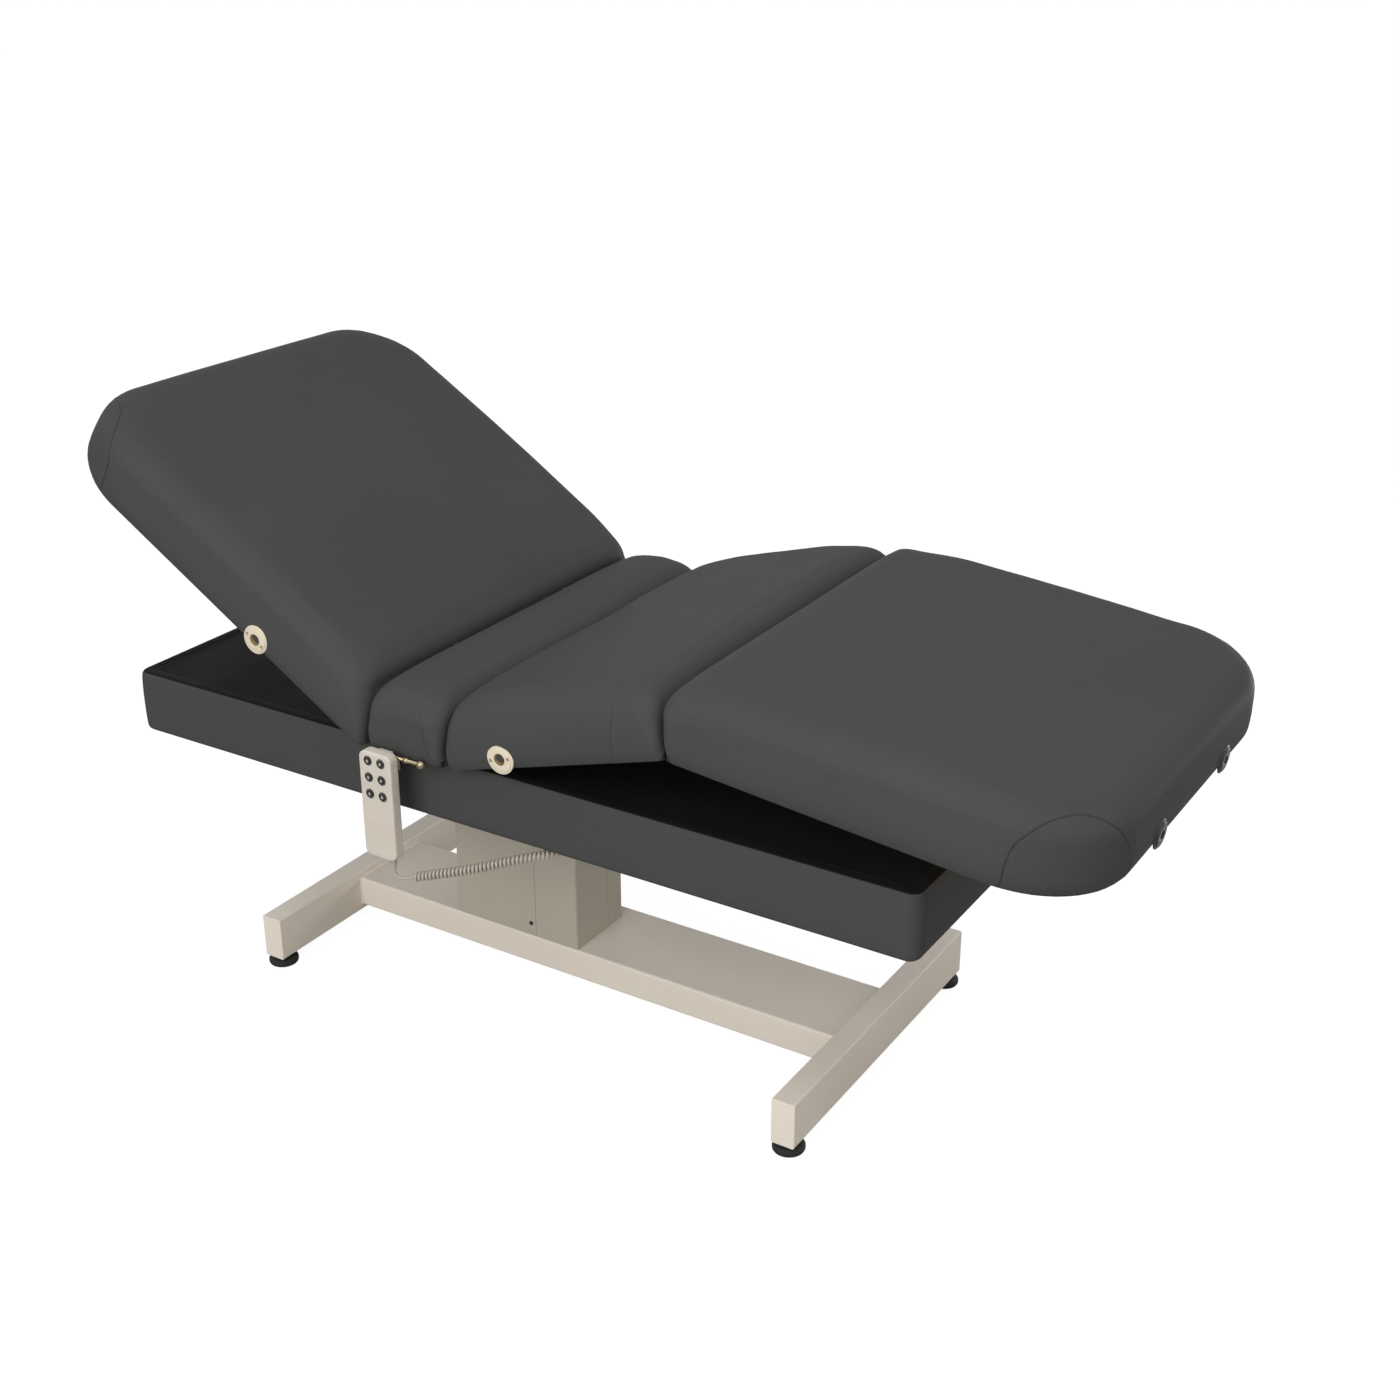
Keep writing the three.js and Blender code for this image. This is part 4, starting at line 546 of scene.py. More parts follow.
# Rings from the middle of the board's pocket, out under the hem, up the wall and in over the crown.
def cushionMesh(key):
    s, step, half, least = sections[key], cushion["step"], cushion["half"], cushion["leastCorner"]
    counts = {"nearArc": 6, "farArc": 22 if s["free"] else 6,
              "side": max(6, round((s["far"] - s["near"] - cushion["hingeCorner"] - s["farCorner"]) / step)),
              "nearEnd": round((2 * half - 2 * cushion["hingeCorner"]) / step),
              "farEnd": round((2 * half - 2 * s["farCorner"]) / step)}
    inset, under, depth = cushion["boardInset"] + cushion["room"], cushion["hemUnder"], cushion["pocket"]
    boardFar = s["far"] - (inset if s["free"] else 0.4)
    pocket = planLoop(s["near"] + 0.1, boardFar, half - inset, least, max(s["farCorner"] - inset, least), counts)
    wrapped = planLoop(s["near"] + under, boardFar - under, half - inset - under, least,
                       max(s["farCorner"] - inset - under, least), counts)
    middle = Vector(((s["near"] + boardFar) / 2, 0, depth))
    rings = []
    for share in (0.25, 0.5, 0.75, 0.92, 1):
        rings.append([(middle.x + (x - middle.x) * share, y * share, depth) for x, y in pocket])
    rings += [onLoop(pocket, -0.04), onLoop(wrapped, -0.04), onLoop(wrapped, -0.26)]
    rings += [onLoop(cushionLoop(key, 0, counts, 0.4), -0.26), onLoop(cushionLoop(key, 0.4, counts, 0.1), 0.4)]
    roundFrom, radius = cushion["height"] - cushion["sideRound"], cushion["sideRound"]
    for h in cushion["wall"] + [roundFrom + radius * sin(radians(a)) for a in cushion["roundAngles"]]:
        rings.append(onLoop(cushionLoop(key, h, counts), h))

    top, power = rings[-1], cushion["crownPower"]
    lowX, highX = min(p[0] for p in top), max(p[0] for p in top)
    centre, halfX, halfY = (lowX + highX) / 2, (highX - lowX) / 2, max(p[1] for p in top)

    def crowned(x, y):
        u, v = abs(x - centre) / halfX, abs(y) / halfY
        return x, y, cushion["height"] + cushion["crown"] * (1 - u ** power) * (1 - v ** power)

    for share in cushion["topShares"]:
        rings.append([crowned(centre + (x - centre) * share, y * share) for x, y, z in top])
    points = [middle] + [Vector(p) for ring in rings for p in ring] + [Vector(crowned(centre, 0))]
    return points, loftFaces(len(top), len(rings), True, True)


# The foam is fuller along the middle of each long side, and the cover draws its hinge corners down.
fullness = {"back": {"middle": 7, "end": -3}, "seat": {"middle": 0, "end": 0},
            "knee": {"middle": 2, "end": 0}, "foot": {"middle": 6, "end": 4}}
cornerDrop = {"depth": 13, "reach": 62, "power": 8, "from": 25, "over": 65}


def hingeEnds(key):
    s = sections[key]
    return (s["near"],) if s["free"] else (s["near"], s["far"])


def pillow(key, p):
    s, full = sections[key], fullness[key]
    along = clamp((p.x - s["near"]) / (s["far"] - s["near"]))
    across = min(abs(p.y) / (cushion["half"]), 1)
    t = clamp((p.z - cornerDrop["from"]) / cornerDrop["over"])
    rise = t * t * (3 - 2 * t)
    lift = (full["middle"] * 4 * along * (1 - along) + full["end"] * along) * across ** 2
    nearness = max(exp(-((p.x - end) / cornerDrop["reach"]) ** 2) for end in hingeEnds(key))
    drop = nearness * cornerDrop["depth"] * across ** cornerDrop["power"]
    return Vector((p.x, p.y, p.z + rise * (lift - drop)))


# The cover isn't dead smooth: slow waves over the foam, and small gathers that fan out from the hinge corners.
slack = {"from": 10, "over": 30, "patch": 130, "broad": 0.55, "small": 0.22, "sideFrom": 345, "topFrom": 70}
gathers = {"depth": 0.22, "count": 13, "inside": 24, "from": 12, "to": 170, "fade": 48, "soften": 20}


def relax(key, points):
    for i, p in enumerate(points):
        if p.z < slack["from"]:
            continue
        strength = min((p.z - slack["from"]) / slack["over"], 1)
        seed = Vector((p.x / slack["patch"] + ord(key[0]), p.y / slack["patch"], p.z / slack["patch"]))
        wave = slack["broad"] * noise.noise(seed) + slack["small"] * noise.noise(seed * 3.1)
        for cornerX in hingeEnds(key):
            for side in (-1, 1):
                dx, dy = p.x - cornerX, p.y - side * (cushion["half"] - gathers["inside"])
                reach = hypot(dx, dy)
                if gathers["from"] < reach < gathers["to"]:
                    fan = sin(atan2(dy, abs(dx) + 1e-6) * gathers["count"] + noise.noise(seed * 2) * 2)
                    soft = min((reach - gathers["from"]) / gathers["soften"], 1)
                    wave += gathers["depth"] * fan * exp(-reach / gathers["fade"]) * soft
        sideways = copysign(1, p.y) if abs(p.y) > slack["sideFrom"] else 0
        away = Vector((0, sideways, 1 if p.z > slack["topFrom"] else 0))
        if away.length > 0:
            points[i] = p + away.normalized() * wave * strength
    return [pillow(key, p) for p in points]


# Foam pushes the cover out: slightly spare cloth under pressure, whose move is kept small and set into the mesh.
coverCloth = {"quality": 5, "mass": 0.3, "tension_stiffness": 25, "compression_stiffness": 25, "shear_stiffness": 8,
              "bending_stiffness": 1.5, "shrink_min": -0.003, "use_pressure": True, "uniform_pressure_force": 4,
              "vertex_group_mass": "held"}
heldBelow, freeAfter = 16, 20  # the hem is held to its board, and the cover is free from 20 mm above that


def puffed(piece, matrix, cap, frames):
    mesh = piece.data
    before = np.array([v.co for v in mesh.vertices], float)
    local = (Matrix.Diagonal((mm, mm, mm, 1)) @ matrix).inverted()
    heights = [(local @ Vector(p)).z for p in before]
    held = piece.vertex_groups.new(name="held")
    for i, h in enumerate(heights):
        held.add([i], 1.0 if h < heldBelow else max(0, 1 - (h - heldBelow) / freeAfter) ** 2, "REPLACE")
    modifier = piece.modifiers.new("cover", "CLOTH")
    for name, value in coverCloth.items():
        setattr(modifier.settings, name, value)
    modifier.settings.effector_weights.gravity = 0
    modifier.point_cache.frame_start, modifier.point_cache.frame_end = 1, frames
    for step in range(1, frames + 1):
        scene.frame_set(step)
    result = piece.evaluated_get(bpy.context.evaluated_depsgraph_get())
    after = np.array([v.co for v in result.to_mesh().vertices], float)
    result.to_mesh_clear()
    piece.modifiers.remove(modifier)
    piece.vertex_groups.remove(held)
    scene.frame_set(1)
    move = after - before
    edges = np.array([e.vertices for e in mesh.edges])
    shares = np.zeros((len(before), 1))
    np.add.at(shares, edges.ravel(), 1)
    for _ in range(14):  # the pull of neighbouring threads evens out the small ripples
        total = np.zeros_like(move)
        np.add.at(total, edges[:, 0], move[edges[:, 1]])
        np.add.at(total, edges[:, 1], move[edges[:, 0]])
        move = 0.4 * move + 0.6 * total / shares
    length = np.linalg.norm(move, axis=1, keepdims=True)
    kept = before + move * np.tanh(length / (cap * mm)) * cap * mm / np.maximum(length, 1e-9)
    mesh.vertices.foreach_set("co", kept.astype(np.float32).ravel())
    mesh.update()
    print(piece.name, "puffed, mm:", round(float(length.mean()) / mm, 2), round(float(length.max()) / mm, 2))


cushionPieces = {}
cushionNodes = {"back": ("back_cushion", "back_cushion_heel"), "seat": ("seat_cushion",),
                "knee": ("knee_cushion", "knee_cushion_heel"), "foot": ("foot_cushion", "foot_cushion_nose")}
seatHalf, heelRise = 380.4, 0.5

for key, nodes in cushionNodes.items():
    points, faces = cushionMesh(key)
    points = relax(key, points)
    matrix = sectionMatrix[key]
    if key == "seat":  # the handset's clip passes close by when it is lifted off
        points = [Vector((p.x, clamp(p.y, -seatHalf, seatHalf), p.z)) for p in points]
    points = [matrix @ p for p in points]
    if key in ("back", "knee"):  # the heel rests on the deck line
        points = [Vector((p.x, p.y, max(p.z, cushion["underside"] + heelRise))) for p in points]
    piece = addPiece(key + "_cushion_cover", [p * mm for p in points], faces, "vinyl", None)
    puffed(piece, matrix, cap=0.6 if key == "seat" else 3, frames=10)
    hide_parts(*nodes)
    cushionPieces[key] = piece
    print("cushion", key, len(points), "points")


# Seams: two folded lips with a valley, laid on the finished cover

# A stitch is a small spindle of thread: (along, across, up) from its middle, and its faces.
stitchPoints = [(-1.4, 0, -0.1), (-0.8, 0.3, 0.1), (-0.8, -0.3, 0.1), (0, 0.32, 0.2), (0, -0.32, 0.2), (0, 0, 0.34),
                (0.8, 0.3, 0.1), (0.8, -0.3, 0.1), (1.4, 0, -0.1)]
stitchFaces = [(0, 1, 5), (0, 5, 2), (1, 3, 5), (2, 5, 4), (3, 6, 5), (4, 5, 7), (5, 6, 8), (5, 8, 7),
               (0, 2, 1), (1, 2, 4), (1, 4, 3), (3, 4, 7), (3, 7, 6), (6, 7, 8)]
firstStitch, besideSeam = 2, 0.9
tackOnly = 1e6  # a stitch length beyond any seam's, which leaves one tack at its start


def surfaceOf(piece):
    mesh = piece.data
    return BVHTree.FromPolygons([v.co.copy() for v in mesh.vertices], [tuple(f.vertices) for f in mesh.polygons])


def seamOn(name, tree, path, body, width=1.5, lift=0.35, stitch=4.5):
    spots = [tree.find_nearest(p)[:2] for p in path]
    lips = [(-width, -0.1), (-width * 0.62, lift), (-width * 0.2, lift * 0.75), (0, -0.15),
            (width * 0.2, lift * 0.75), (width * 0.62, lift), (width, -0.1), (0, -0.5)]
    points = []
    for i, (place, normal) in enumerate(spots):
        along = (spots[min(i + 1, len(spots) - 1)][0] - spots[max(i - 1, 0)][0]).normalized()
        across = along.cross(normal).normalized()
        points += [place + across * side * mm + normal * up * mm for side, up in lips]
    faces = loftFaces(len(lips), len(spots))
    faces += [tuple(range(len(lips)))[::-1], tuple(range(len(points) - len(lips), len(points)))]
    addPiece(name, points, faces, "seam", body)

    threadPoints, threadFaces = [], []
    done, following = 0, firstStitch
    for a, b in zip(spots, spots[1:]):
        part = (b[0] - a[0]).length / mm
        while following < done + part:
            t = (following - done) / part
            normal = a[1].lerp(b[1], t).normalized()
            along = (b[0] - a[0]).normalized()
            across = along.cross(normal).normalized()
            centre = a[0].lerp(b[0], t) + across * (width + besideSeam) * mm
            threadFaces += [tuple(len(threadPoints) + k for k in face) for face in stitchFaces]
            threadPoints += [centre + (along * u + across * w + normal * up) * mm for u, w, up in stitchPoints]
            following += stitch
        done += part
    addPiece(name + "_stitches", threadPoints, threadFaces, "thread", body)


# The corner gusset's arch on a free corner: (turn round the corner, height) pairs
cornerArch = [(-81, 2), (-81, 16), (-81, 34), (-80, 52), (-78, 70), (-74, 84), (-68, 96), (-61, 103), (-52, 106),
              (-44, 107), (-35, 105.5), (-27, 100), (-19.5, 88), (-14, 73), (-10, 58), (-7, 40), (-5.5, 22), (-5, 2)]


def cornerPoint(key, degrees, h, side):
    s, a = sections[key], radians(degrees)
    inset = drawnIn(s["farRound"], h)
    radius = s["farCorner"] - inset
    x = s["far"] - inset - hemTuck(h) - radius + radius * cos(a)
    y = cushion["half"] - sideInset(h) - radius - radius * sin(a)
    return sectionMatrix[key] @ Vector((x, side * y, h)) * mm


for key in ("back", "foot"):
    tree = surfaceOf(cushionPieces[key])
    for name, side in bothSides:
        path = smoothPath([cornerPoint(key, a, h, side) for a, h in cornerArch], 5)
        seamOn(key + "_corner_seam_" + name, tree, path, key + "_section")

# The slanting seam across each side: its body, and its places along the section at the bottom and at the top
sideSeams = {"knee": ("knee_section", 303, 329), "seat": ("table_top", 126, 102)}
seamLow, seamRise, seamSteps = 3, 100, 14

for key, (body, low, high) in sideSeams.items():
    tree = surfaceOf(cushionPieces[key])
    for name, side in bothSides:
        path = []
        for i in range(seamSteps + 1):
            h = seamLow + seamRise * i / seamSteps
            x = low + (high - low) * i / seamSteps
            y = side * (cushion["half"] - sideInset(h))
            path.append(sectionMatrix[key] @ Vector((x, y, h)) * mm)
        seamOn(key + "_side_seam_" + name, tree, path, body, width=1, lift=0.15, stitch=tackOnly)
print("seams laid")

# For each cover: its own section, the neighbour over the hinge, and the start and end of the stretch between them.
# Here each of these covers only has its transform set into its mesh.
stretches = {
    "back": ("back_section", "table_top", (-270.885 - 14, 14.35, 632.1 + 4), (-270.885 + 22, 14.35, 632.1 - 6)),
    "knee": ("knee_section", "table_top", (-124.185 + 12, 14.35, 632.1 + 2), (-124.185 - 12, 14.35, 632.1 - 2)),
    "foot": ("foot_section", "knee_section", (273.087 + 10, 14.35, 662.7), (273.087 - 18, 14.35, 662.7 + 3)),
}
for key, (body, neighbour, start, end) in stretches.items():
    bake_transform(cushionPieces[key])
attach(cushionPieces["seat"], "table_top")


# Padded skirt round the frame: leathercloth drawn over the boards, rolled over their top edge

skirt = {"halfX": 732, "halfY": 344, "corner": 20, "step": 16, "seamY": 320, "seamLow": 434, "seamRise": 106}
# (inset from the outline, height) pairs, from the inside of the lower edge to the inside of the upper one
skirtProfile = [(22, 434), (20, 433.2), (7.5, 433), (4.6, 434), (2.3, 436.2), (0.8, 439.4), (0.1, 444),
                (-0.5, 455), (-0.9, 470), (-1, 487), (-0.9, 504), (-0.5, 518), (0, 528), (0.5, 532.6),
                (1.6, 536.2), (3.4, 538.8), (5.6, 540.2), (8.4, 540.6), (20.6, 540.5), (22, 539.6)]
straightX, straightY = skirt["halfX"] - skirt["corner"], skirt["halfY"] - skirt["corner"]
skirtArcs = [quarterArc(x * straightX, y * straightY, skirt["corner"], start) for x, y, start in corners]
skirtLoop = joinedArcs(skirtArcs, [round(2 * straightX / skirt["step"]), round(2 * straightY / skirt["step"])] * 2)

skirtPoints = []
for inset, z in skirtProfile:
    endX, endY = skirt["halfX"] - inset, skirt["halfY"] - inset
    for x, y in skirtLoop:
        if inset > skirt["corner"] - 1:
            skirtPoints.append(row(clamp(x, -endX, endX), clamp(y, -endY, endY), z))
        else:
            outX = copysign(max(abs(x) - straightX, 0), x)
            outY = copysign(max(abs(y) - straightY, 0), y)
            wave = 0.35 * noise.noise(Vector((x / 90, y / 90, z / 70))) if -2 < inset < 5 else 0
            share = (wave - inset) / hypot(outX, outY)
            skirtPoints.append(row(x + outX * share, y + outY * share, z))
count = len(skirtLoop)
last = (len(skirtProfile) - 1) * count
skirtFaces = loftFaces(count, len(skirtProfile))
skirtFaces += [(last + i, last + (i + 1) % count, (i + 1) % count, i) for i in range(count)]
skirtPiece = addPiece("skirt_cover", skirtPoints, skirtFaces, "vinyl", "table_top")
# The skirt cover's upward faces take the near-black deck paint: painted shade on the rolled top edge, which the
# sections above shade.
skirtPiece.data.materials.append(paints["deck"])
for face in skirtPiece.data.polygons:
    if face.normal.z > 0.6:
        face.material_index = 1
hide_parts("skirt_side_near", "skirt_side_far", "skirt_end_head", "skirt_end_foot")
skirtTree = surfaceOf(skirtPiece)
for end, x in (("foot", 1), ("head", -1)):
    for name, y in bothSides:
        heights = [skirt["seamLow"] + skirt["seamRise"] * i / 16 for i in range(17)]
        path = [row(x * skirt["halfX"], y * skirt["seamY"], z) for z in heights]
        seamOn("skirt_seam_" + end + "_" + name, skirtTree, path, "table_top", width=1.2, lift=0.3, stitch=tackOnly)
print("skirt made")


# Accessory sockets: turned flanges with a blind bore and two countersunk screws

sockets = {
    "side": {"paint": "flange", "slot": "cream_plastic", "screw": "screwBronze", "screwAt": 16.5, "screwSeat": 2.2,
             "profile": [(0, -37.6), (7, -37.6), (7, -1.6), (9.6, 3.4), (10.3, 4), (19.8, 4), (20.6, 3.7), (21, 3),
                         (21.1, 2.4), (22.6, 2.2), (23.6, 1.8), (24, 1.1), (24, 0), (10, 0), (10, -41.6), (0, -41.6)],
             "bush": [(0, -37.4), (5.9, -37.4), (5.9, -1.4), (6.4, -0.6), (8.9, 3.1), (9.5, 3.3), (7, -1.9),
                      (6.95, -37.5), (0, -37.5)]},
    "end": {"paint": "blackAbs", "slot": "black_plastic", "screw": "steel", "screwAt": 14, "screwSeat": 2.8,
            "profile": [(0, -47.6), (6.5, -47.6), (6.5, 3.9), (7.1, 4.7), (7.9, 5), (16.8, 5), (17.6, 4.6), (18, 3.9),
                        (18.1, 3), (20.4, 2.8), (21.5, 2.2), (22, 1.4), (22, 0), (10, 0), (10, -51.6), (0, -51.6)]},
}
screwProfile = [(0, 0.3), (0.9, 0.3), (1.25, 1), (1.9, 1.25), (2.6, 0.9), (2.9, 0.2), (2.9, -1.5), (0, -1.5)]
screwProud = 1.1


def addScrews(name, spots, paint, body):
    for k, spot in enumerate(spots):
        turned(f"{name}_screw_{k + 1}", screwProfile, spot, paint, body, 20)


def socketSet(node, key, local, outward, kind):
    socket, body, matrix = sockets[kind], key + "_section", sectionMatrix[key]
    rotation = matrix.to_3x3()
    seat = aimed(matrix @ Vector(local) * mm, rotation @ Vector(outward), (rotation @ upward).normalized())
    piece = turned(node + "_flange", socket["profile"], seat, socket["paint"], body, 56)
    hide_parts(node)
    if "bush" in socket:
        turned(node + "_bush", socket["bush"], seat, socket["screw"], body, 56)
    at, height = socket["screwAt"] * mm, (socket["screwSeat"] + screwProud) * mm
    spots = [seat @ Matrix.Translation((x, 0, height)) for x in (-at, at)]
    addScrews(node, spots, socket["screw"], body)


for name, side in bothSides:
    edge = side * (cushion["half"] + cushion["room"])
    socketSet("back_side_socket_" + name, "back", (204, edge, 17), (0, side, 0), "side")
    socketSet("knee_side_socket_" + name, "knee", (100, edge, 17), (0, side, 0), "side")
    socketSet("head_end_socket_" + name, "back", (696.3, side * 136, 20), (1, 0, 0), "end")
    socketSet("foot_end_socket_" + name, "foot", (633.3, side * 136, 20), (1, 0, 0), "end")
print("sockets made")


# Levelling feet: ribbed rubber pad, hexagon nut and threaded stud

levelFoot = {"head": -521.3, "foot": 507.3, "y": 276.5, "threads": 12, "pitch": 1.6,
             "pad": [(0, 0), (18, 0), (19, 0.8), (22.4, 1.6), (24.6, 3), (25.7, 5), (26, 7), (25.5, 7.6), (25.5, 8.4),
                     (26, 9), (25.8, 11), (24.6, 12.8), (21.8, 14.2), (17, 14.8), (13.5, 15), (11, 14.4), (0, 14.4)],
             "nut": [(0, 14.2), (7.6, 14.2), (8.6, 14.4), (8.6, 15.5), (7.9, 15.8), (0, 15.8)]}
thread = [(0, 14.5)]
for k in range(levelFoot["threads"]):
    thread += [(5, 14.6 + levelFoot["pitch"] * k), (4.4, 15.4 + levelFoot["pitch"] * k)]
thread += [(4.4, 34), (0, 34)]
for end in ("head", "foot"):
    for name, side in bothSides:
        foot, body = "foot_" + end + "_" + name, "foot_pad_" + end + "_" + name
        spot = Matrix.Translation(row(levelFoot[end], side * levelFoot["y"], 0))
        pad = turned(foot + "_pad", levelFoot["pad"], spot, "rubber", body, 48)
        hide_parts("leveling_foot_" + end + "_" + name)
        turned(foot + "_stud", thread, spot, "steel", body, 20)
        turned(foot + "_nut", levelFoot["nut"], spot, "steel", body, 6)
print("feet made")


# Weld beads where the beam meets the cross tubes

bead = {"halfWidth": 85, "low": 31, "high": 85, "corner": 4, "radius": 2.6, "head": -501.3, "foot": 487.3}
for end in ("head", "foot"):
    x, width, corner = bead[end], bead["halfWidth"], bead["corner"]
    half = [(-width, bead["low"]), (-width, bead["high"] - corner), (-width + corner, bead["high"])]
    path = [Vector((x, y, z)) for y, z in half] + [Vector((x, -y, z)) for y, z in half[::-1]]
    line = [row(*p) for p in evenly(path, 210)]
    radii = []
    for i in range(len(line)):  # the ripples of a hand weld, one about every 4 mm
        ripple = 0.86 + 0.14 * abs(sin(i * 0.95)) + 0.08 * noise.noise(Vector((i * 0.31, x, 0)))
        radii.append(bead["radius"] * mm * ripple)
    bar("weld_bead_" + end, line, radii, "cream", "base", 10)
print("welds made")


# Handset: two moulded shells with a parting line, six domed keys, a clip and a ribbed strain relief

handset = {"x": -150, "front": -413, "back": -393, "middle": 468.5, "halfWidth": 31, "halfHeight": 90.5, "corner": 13,
           "leastCorner": 0.6, "screwX": (-172, -128), "screwZ": (392, 470)}
front, back = handset["front"], handset["back"]
# (inset from the outline, depth) pairs of a shell's rounded edge, and of both shells with their parting line
rim = [(2.2, 0.25), (1.2, 0.7), (0.45, 1.5), (0.1, 2.5), (0, 3.6)]
shellRings = [(20, front + 0.1), (10, front), (3.4, front + 0.05)] + [(inset, front + depth) for inset, depth in rim]
shellRings += [(0, front + 8.7), (0.55, front + 8.9), (0.55, front + 9.5), (0, front + 9.7)]
shellRings += [(inset, back - depth) for inset, depth in rim[::-1]] + [(3.4, back), (12, back)]


def shellLoop(inset, y):
    radius = max(handset["corner"] - inset, handset["leastCorner"])
    halfX, halfZ = handset["halfWidth"] - inset - radius, handset["halfHeight"] - inset - radius
    arcs = [quarterArc(x * halfX, z * halfZ, radius, start) for x, z, start in corners]
    return [row(handset["x"] + x, y, handset["middle"] + z) for arc in arcs for x, z in arc]


shellPoints = [row(handset["x"], front + 0.1, handset["middle"])]
for inset, y in shellRings:
    shellPoints += shellLoop(inset, y)
shellPoints.append(row(handset["x"], back, handset["middle"]))
shellFaces = loftFaces(len(shellLoop(0, front)), len(shellRings), True, True)
shell = addPiece("handset_body", shellPoints, shellFaces, "handset", "handset")
sharpen(shell, 50)
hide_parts("handset_shell")

relief = {"x": -133, "y": -403, "top": 381, "firstRib": 378.6, "ribs": 6, "pitch": 2.5}
reliefProfile = [(0, relief["top"]), (5.4, relief["top"])]
for k in range(relief["ribs"]):
    top, rib, groove = relief["firstRib"] - relief["pitch"] * k, 5.2 - 0.3 * k, 4.3 - 0.24 * k
    reliefProfile += [(rib, top), (rib, top - 1.3), (groove, top - 1.5), (groove, top - 2.4)]
reliefProfile += [(3.2, 363.6), (0, 363.6)]
reliefSpot = Matrix.Translation(row(relief["x"], relief["y"], 0))
turned("handset_strain_relief", reliefProfile, reliefSpot, "cord", "handset", 28)

clip = {"from": -163, "to": -137, "outer": -382.25, "inner": -383.65}
roundedBox("handset_clip_bridge", (clip["from"], back - 1, 550.3), (clip["to"], clip["outer"], 553.3),
           "handset", "handset", 0.6)
roundedBox("handset_clip_leg", (clip["from"], clip["inner"], 541), (clip["to"], clip["outer"], 551.3),
           "handset", "handset", 0.4)

keyPad = {"columns": (-12.5, 12.5), "rows": (544, 516, 488),
          "bezel": [(0, -0.6), (8, -0.6), (8, 0.25), (7.6, 0.55), (7, 0.6), (6.75, 0.4), (6.7, -0.4), (0, -0.4)],
          "dome": [(0, -4.5), (6.2, -4.5), (6.2, 0.9), (6, 1.35), (5.5, 1.65), (4.6, 1.8), (3.4, 1.72), (1.8, 1.62),
                   (0, 1.6)],
          "arrow": [(-2.9, -0.4), (0, 2.9), (2.9, -0.4), (1.1, -0.4), (1.1, -2.9), (-1.1, -2.9), (-1.1, -0.4)],
          "arrowFrom": 1.53, "arrowTo": 1.86}
n = len(keyPad["arrow"])
arrowFaces = [(0, 1, 2, 3, 6), (6, 3, 4, 5), (n, n + 1, n + 2, n + 3, n + 6), (n + 6, n + 3, n + 4, n + 5)]
arrowFaces += [(i, (i + 1) % n, n + (i + 1) % n, n + i) for i in range(n)]

for k, keyName in enumerate(("height_up", "height_down", "back_up", "back_down", "legs_up", "legs_down")):
    x, z = handset["x"] + keyPad["columns"][k % 2], keyPad["rows"][k // 2]
    spot = aimed(row(x, front, z), -toFar)
    turned("bezel_" + keyName, keyPad["bezel"], spot, "blackAbs", "handset", 40)
    cap = turned("key_" + keyName, keyPad["dome"], spot, "silicone", "button_" + keyName, 40)
    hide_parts("button_" + keyName)
    sign = 1 if k % 2 == 0 else -1
    arrowPoints = []
    for lift in (keyPad["arrowFrom"], keyPad["arrowTo"]):
        arrowPoints += [row(x + u, front - lift, z + sign * w) for u, w in keyPad["arrow"]]
    addPiece("arrow_" + keyName, arrowPoints, arrowFaces, "ink", "button_" + keyName, False)

screwSpots = [aimed(row(x, back - 0.1, z), toFar) for z in handset["screwZ"] for x in handset["screwX"]]
addScrews("handset_back", screwSpots, "steel", "handset")
print("handset made")


# Hook: bent brass wire with a sliding bead and a ball end, screwed to the skirt

hook = {"wire": 3, "y": -387, "z": 547, "from": -172, "to": -80, "low": 516.6, "face": -344.3, "bend": 8,
        "beadAt": -109, "ball": 7, "plate": 15, "plateThick": 3, "screws": 10,
        "bead": [(0, -4.4), (3.2, -4.4), (4.2, -3.4), (4.8, -1.8), (5, 0), (4.8, 1.8), (4.2, 3.4), (3.2, 4.4),
                 (0, 4.4)]}


# The points of a quarter bend at a corner of the wire, from one direction into the next.
def quarterBend(corner, into, away, radius, steps=8):
    points = []
    for i in range(steps + 1):
        a = radians(90 * i / steps)
        points.append(corner + (into * (sin(a) - 1) + away * (1 - cos(a))) * radius)
    return points


wirePath = [Vector((hook["from"], hook["face"] - 1, hook["low"]))]
wirePath += quarterBend(Vector((hook["from"], hook["y"], hook["low"])), -toFar, upward, hook["bend"])
wirePath += quarterBend(Vector((hook["from"], hook["y"], hook["z"])), upward, toFoot, hook["bend"])
wirePath.append(Vector((hook["to"], hook["y"], hook["z"])))
wire = bar("hook_wire", [row(*p) for p in wirePath], hook["wire"] * mm, "brass", "table_top", 20)
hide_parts("handset_hook")
ballArc = [radians(a) for a in range(36, 180, 12)]
ballProfile = [(0, -6.6), (3.2, -6.5), (3.4, -5.9)]
ballProfile += [(hook["ball"] * sin(a), -hook["ball"] * cos(a)) for a in ballArc] + [(0, hook["ball"])]
for name, profile, x, sides in (("ball", ballProfile, hook["to"], 36), ("bead", hook["bead"], hook["beadAt"], 32)):
    spot = aimed(row(x, hook["y"], hook["z"]), toFoot)
    turned("hook_" + name, profile, spot, "brass", "table_top", sides)
plateX, plateZ, half, plateFront = hook["from"], hook["low"], hook["plate"], hook["face"] - hook["plateThick"]
roundedBox("hook_plate", (plateX - half, plateFront, plateZ - half), (plateX + half, hook["face"], plateZ + half),
           "brass", "table_top", 0.9)
ends = (-hook["screws"], hook["screws"])
screwPlaces = [(plateX + x, plateZ - 0.1 + z) for z in ends for x in ends]
addScrews("hook", [aimed(row(x, plateFront - 0.1, z), -toFar) for x, z in screwPlaces], "steel", "table_top")
print("hook made")


# The CAD nodes that stay as they are take the finish of the real piece

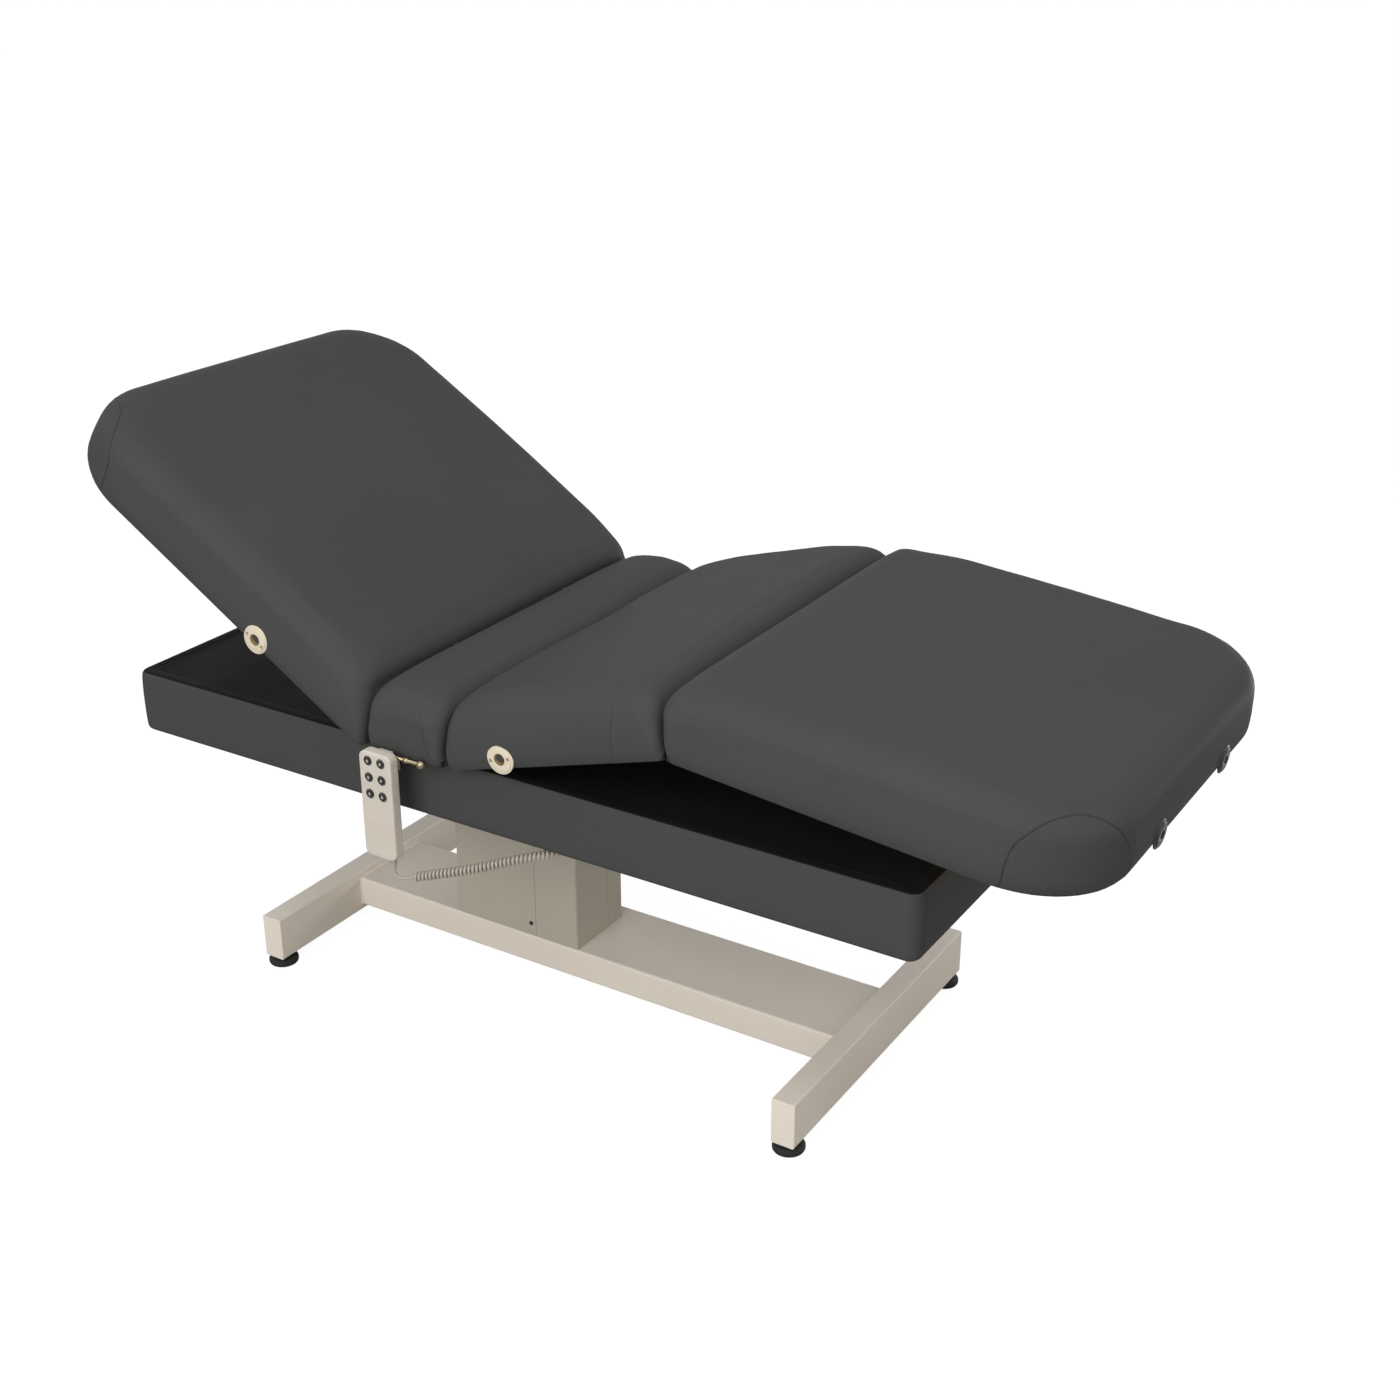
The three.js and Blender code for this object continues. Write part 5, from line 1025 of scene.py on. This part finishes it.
nodePaint = {
    "cream": ["head_cross_tube", "foot_cross_tube", "base_beam"],
    "cover": ["column_cover_front_head", "column_cover_front_foot", "column_cover_rear", "column_inner_shroud"],
    "black": ["lift_actuator", "top_frame", "seat_hinge_frame", "back_actuator", "knee_actuator", "foot_support_link",
              "back_section_frame", "knee_section_frame", "foot_section_frame", "column_cover_screw"],
    "steel": ["guide_tube_outer", "guide_tube_inner", "lift_actuator_rod", "back_actuator_rod", "knee_actuator_rod"],
    "plywood": ["seat_board", "back_board", "knee_board", "foot_board"],
    "blackAbs": ["control_box"],
    "deck": ["deck_panel"],
}
for paint, names in nodePaint.items():
    for name in names:
        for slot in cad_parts[name].material_slots:
            slot.link = "OBJECT"
            slot.material = paints[paint]
print("CAD nodes finished")


# Floor, backdrop and light

white = colour("#ffffff")

# White seen by the camera, and a light grey floor to the lamps, so that it throws little light back up.
paints["floor"] = floorPaint = emptied(bpy.data.materials.new("whiteStudioFloor"))
rays = addNode(floorPaint, "LightPath").outputs
share = addNode(floorPaint, "Math", {"operation": "MULTIPLY"}, {0: rays["Is Camera Ray"], 1: 0.75})
matt = addNode(floorPaint, "BsdfDiffuse", inputs={"Color": colour("#c4c3c1")})
glow = addNode(floorPaint, "Emission", inputs={"Color": white, "Strength": 1.26})
both = addNode(floorPaint, "MixShader", inputs={0: share.outputs[0], 1: matt.outputs[0], 2: glow.outputs[0]})
addNode(floorPaint, "OutputMaterial", inputs={"Surface": both.outputs[0]})
floorHalf, floorDrop = 40, 0.0005  # metres, just clear of the pads' undersides
floorPoints = [(x * floorHalf, y * floorHalf, -floorDrop) for x, y, start in corners]
addPiece("floor", floorPoints, [(0, 1, 2, 3)], "floor", None, smooth=False)

# A dim white room for the light, and full white where the camera, a gloss or a clear piece sees it.
world = emptied(bpy.data.worlds.new("studio"))
scene.world = world
rays = addNode(world, "LightPath").outputs
seen = addNode(world, "Math", {"operation": "MAXIMUM"}, {0: rays["Is Camera Ray"], 1: rays["Is Glossy Ray"]})
seen = addNode(world, "Math", {"operation": "MAXIMUM"}, {0: seen.outputs[0], 1: rays["Is Transmission Ray"]})
ambient = addNode(world, "Background", inputs={"Color": white, "Strength": 0.45})
full = addNode(world, "Background", inputs={"Color": white, "Strength": 1})
both = addNode(world, "MixShader", inputs={0: seen.outputs[0], 1: ambient.outputs[0], 2: full.outputs[0]})
addNode(world, "OutputWorld", inputs={"Surface": both.outputs[0]})

lamps = {
    "key": {"place": (0.3, -4.2, 2.7), "aim": (0, 0, 0.5), "size": 3, "power": 136},
    "top": {"place": (1.6, -0.6, 4.3), "aim": (0.3, 0, 0.6), "size": 3.2, "power": 65},
    "rear": {"place": (0.7, 1.5, 0.42), "aim": (0.4, 0, 0.3), "size": 1.8, "tall": 0.35, "power": 10},
}
for name, lamp in lamps.items():
    data = bpy.data.lights.new(name, "AREA")
    data.shape = "RECTANGLE"
    data.size = lamp["size"]
    data.size_y = lamp.get("tall", lamp["size"])
    data.energy = lamp["power"]
    light = bpy.data.objects.new(name, data)
    scene.collection.objects.link(light)
    light.visible_camera = False
    light.matrix_world = aimed(Vector(lamp["place"]), Vector(lamp["place"]) - Vector(lamp["aim"]))
scene.view_settings.view_transform = "Standard"
print("stage and lights set")
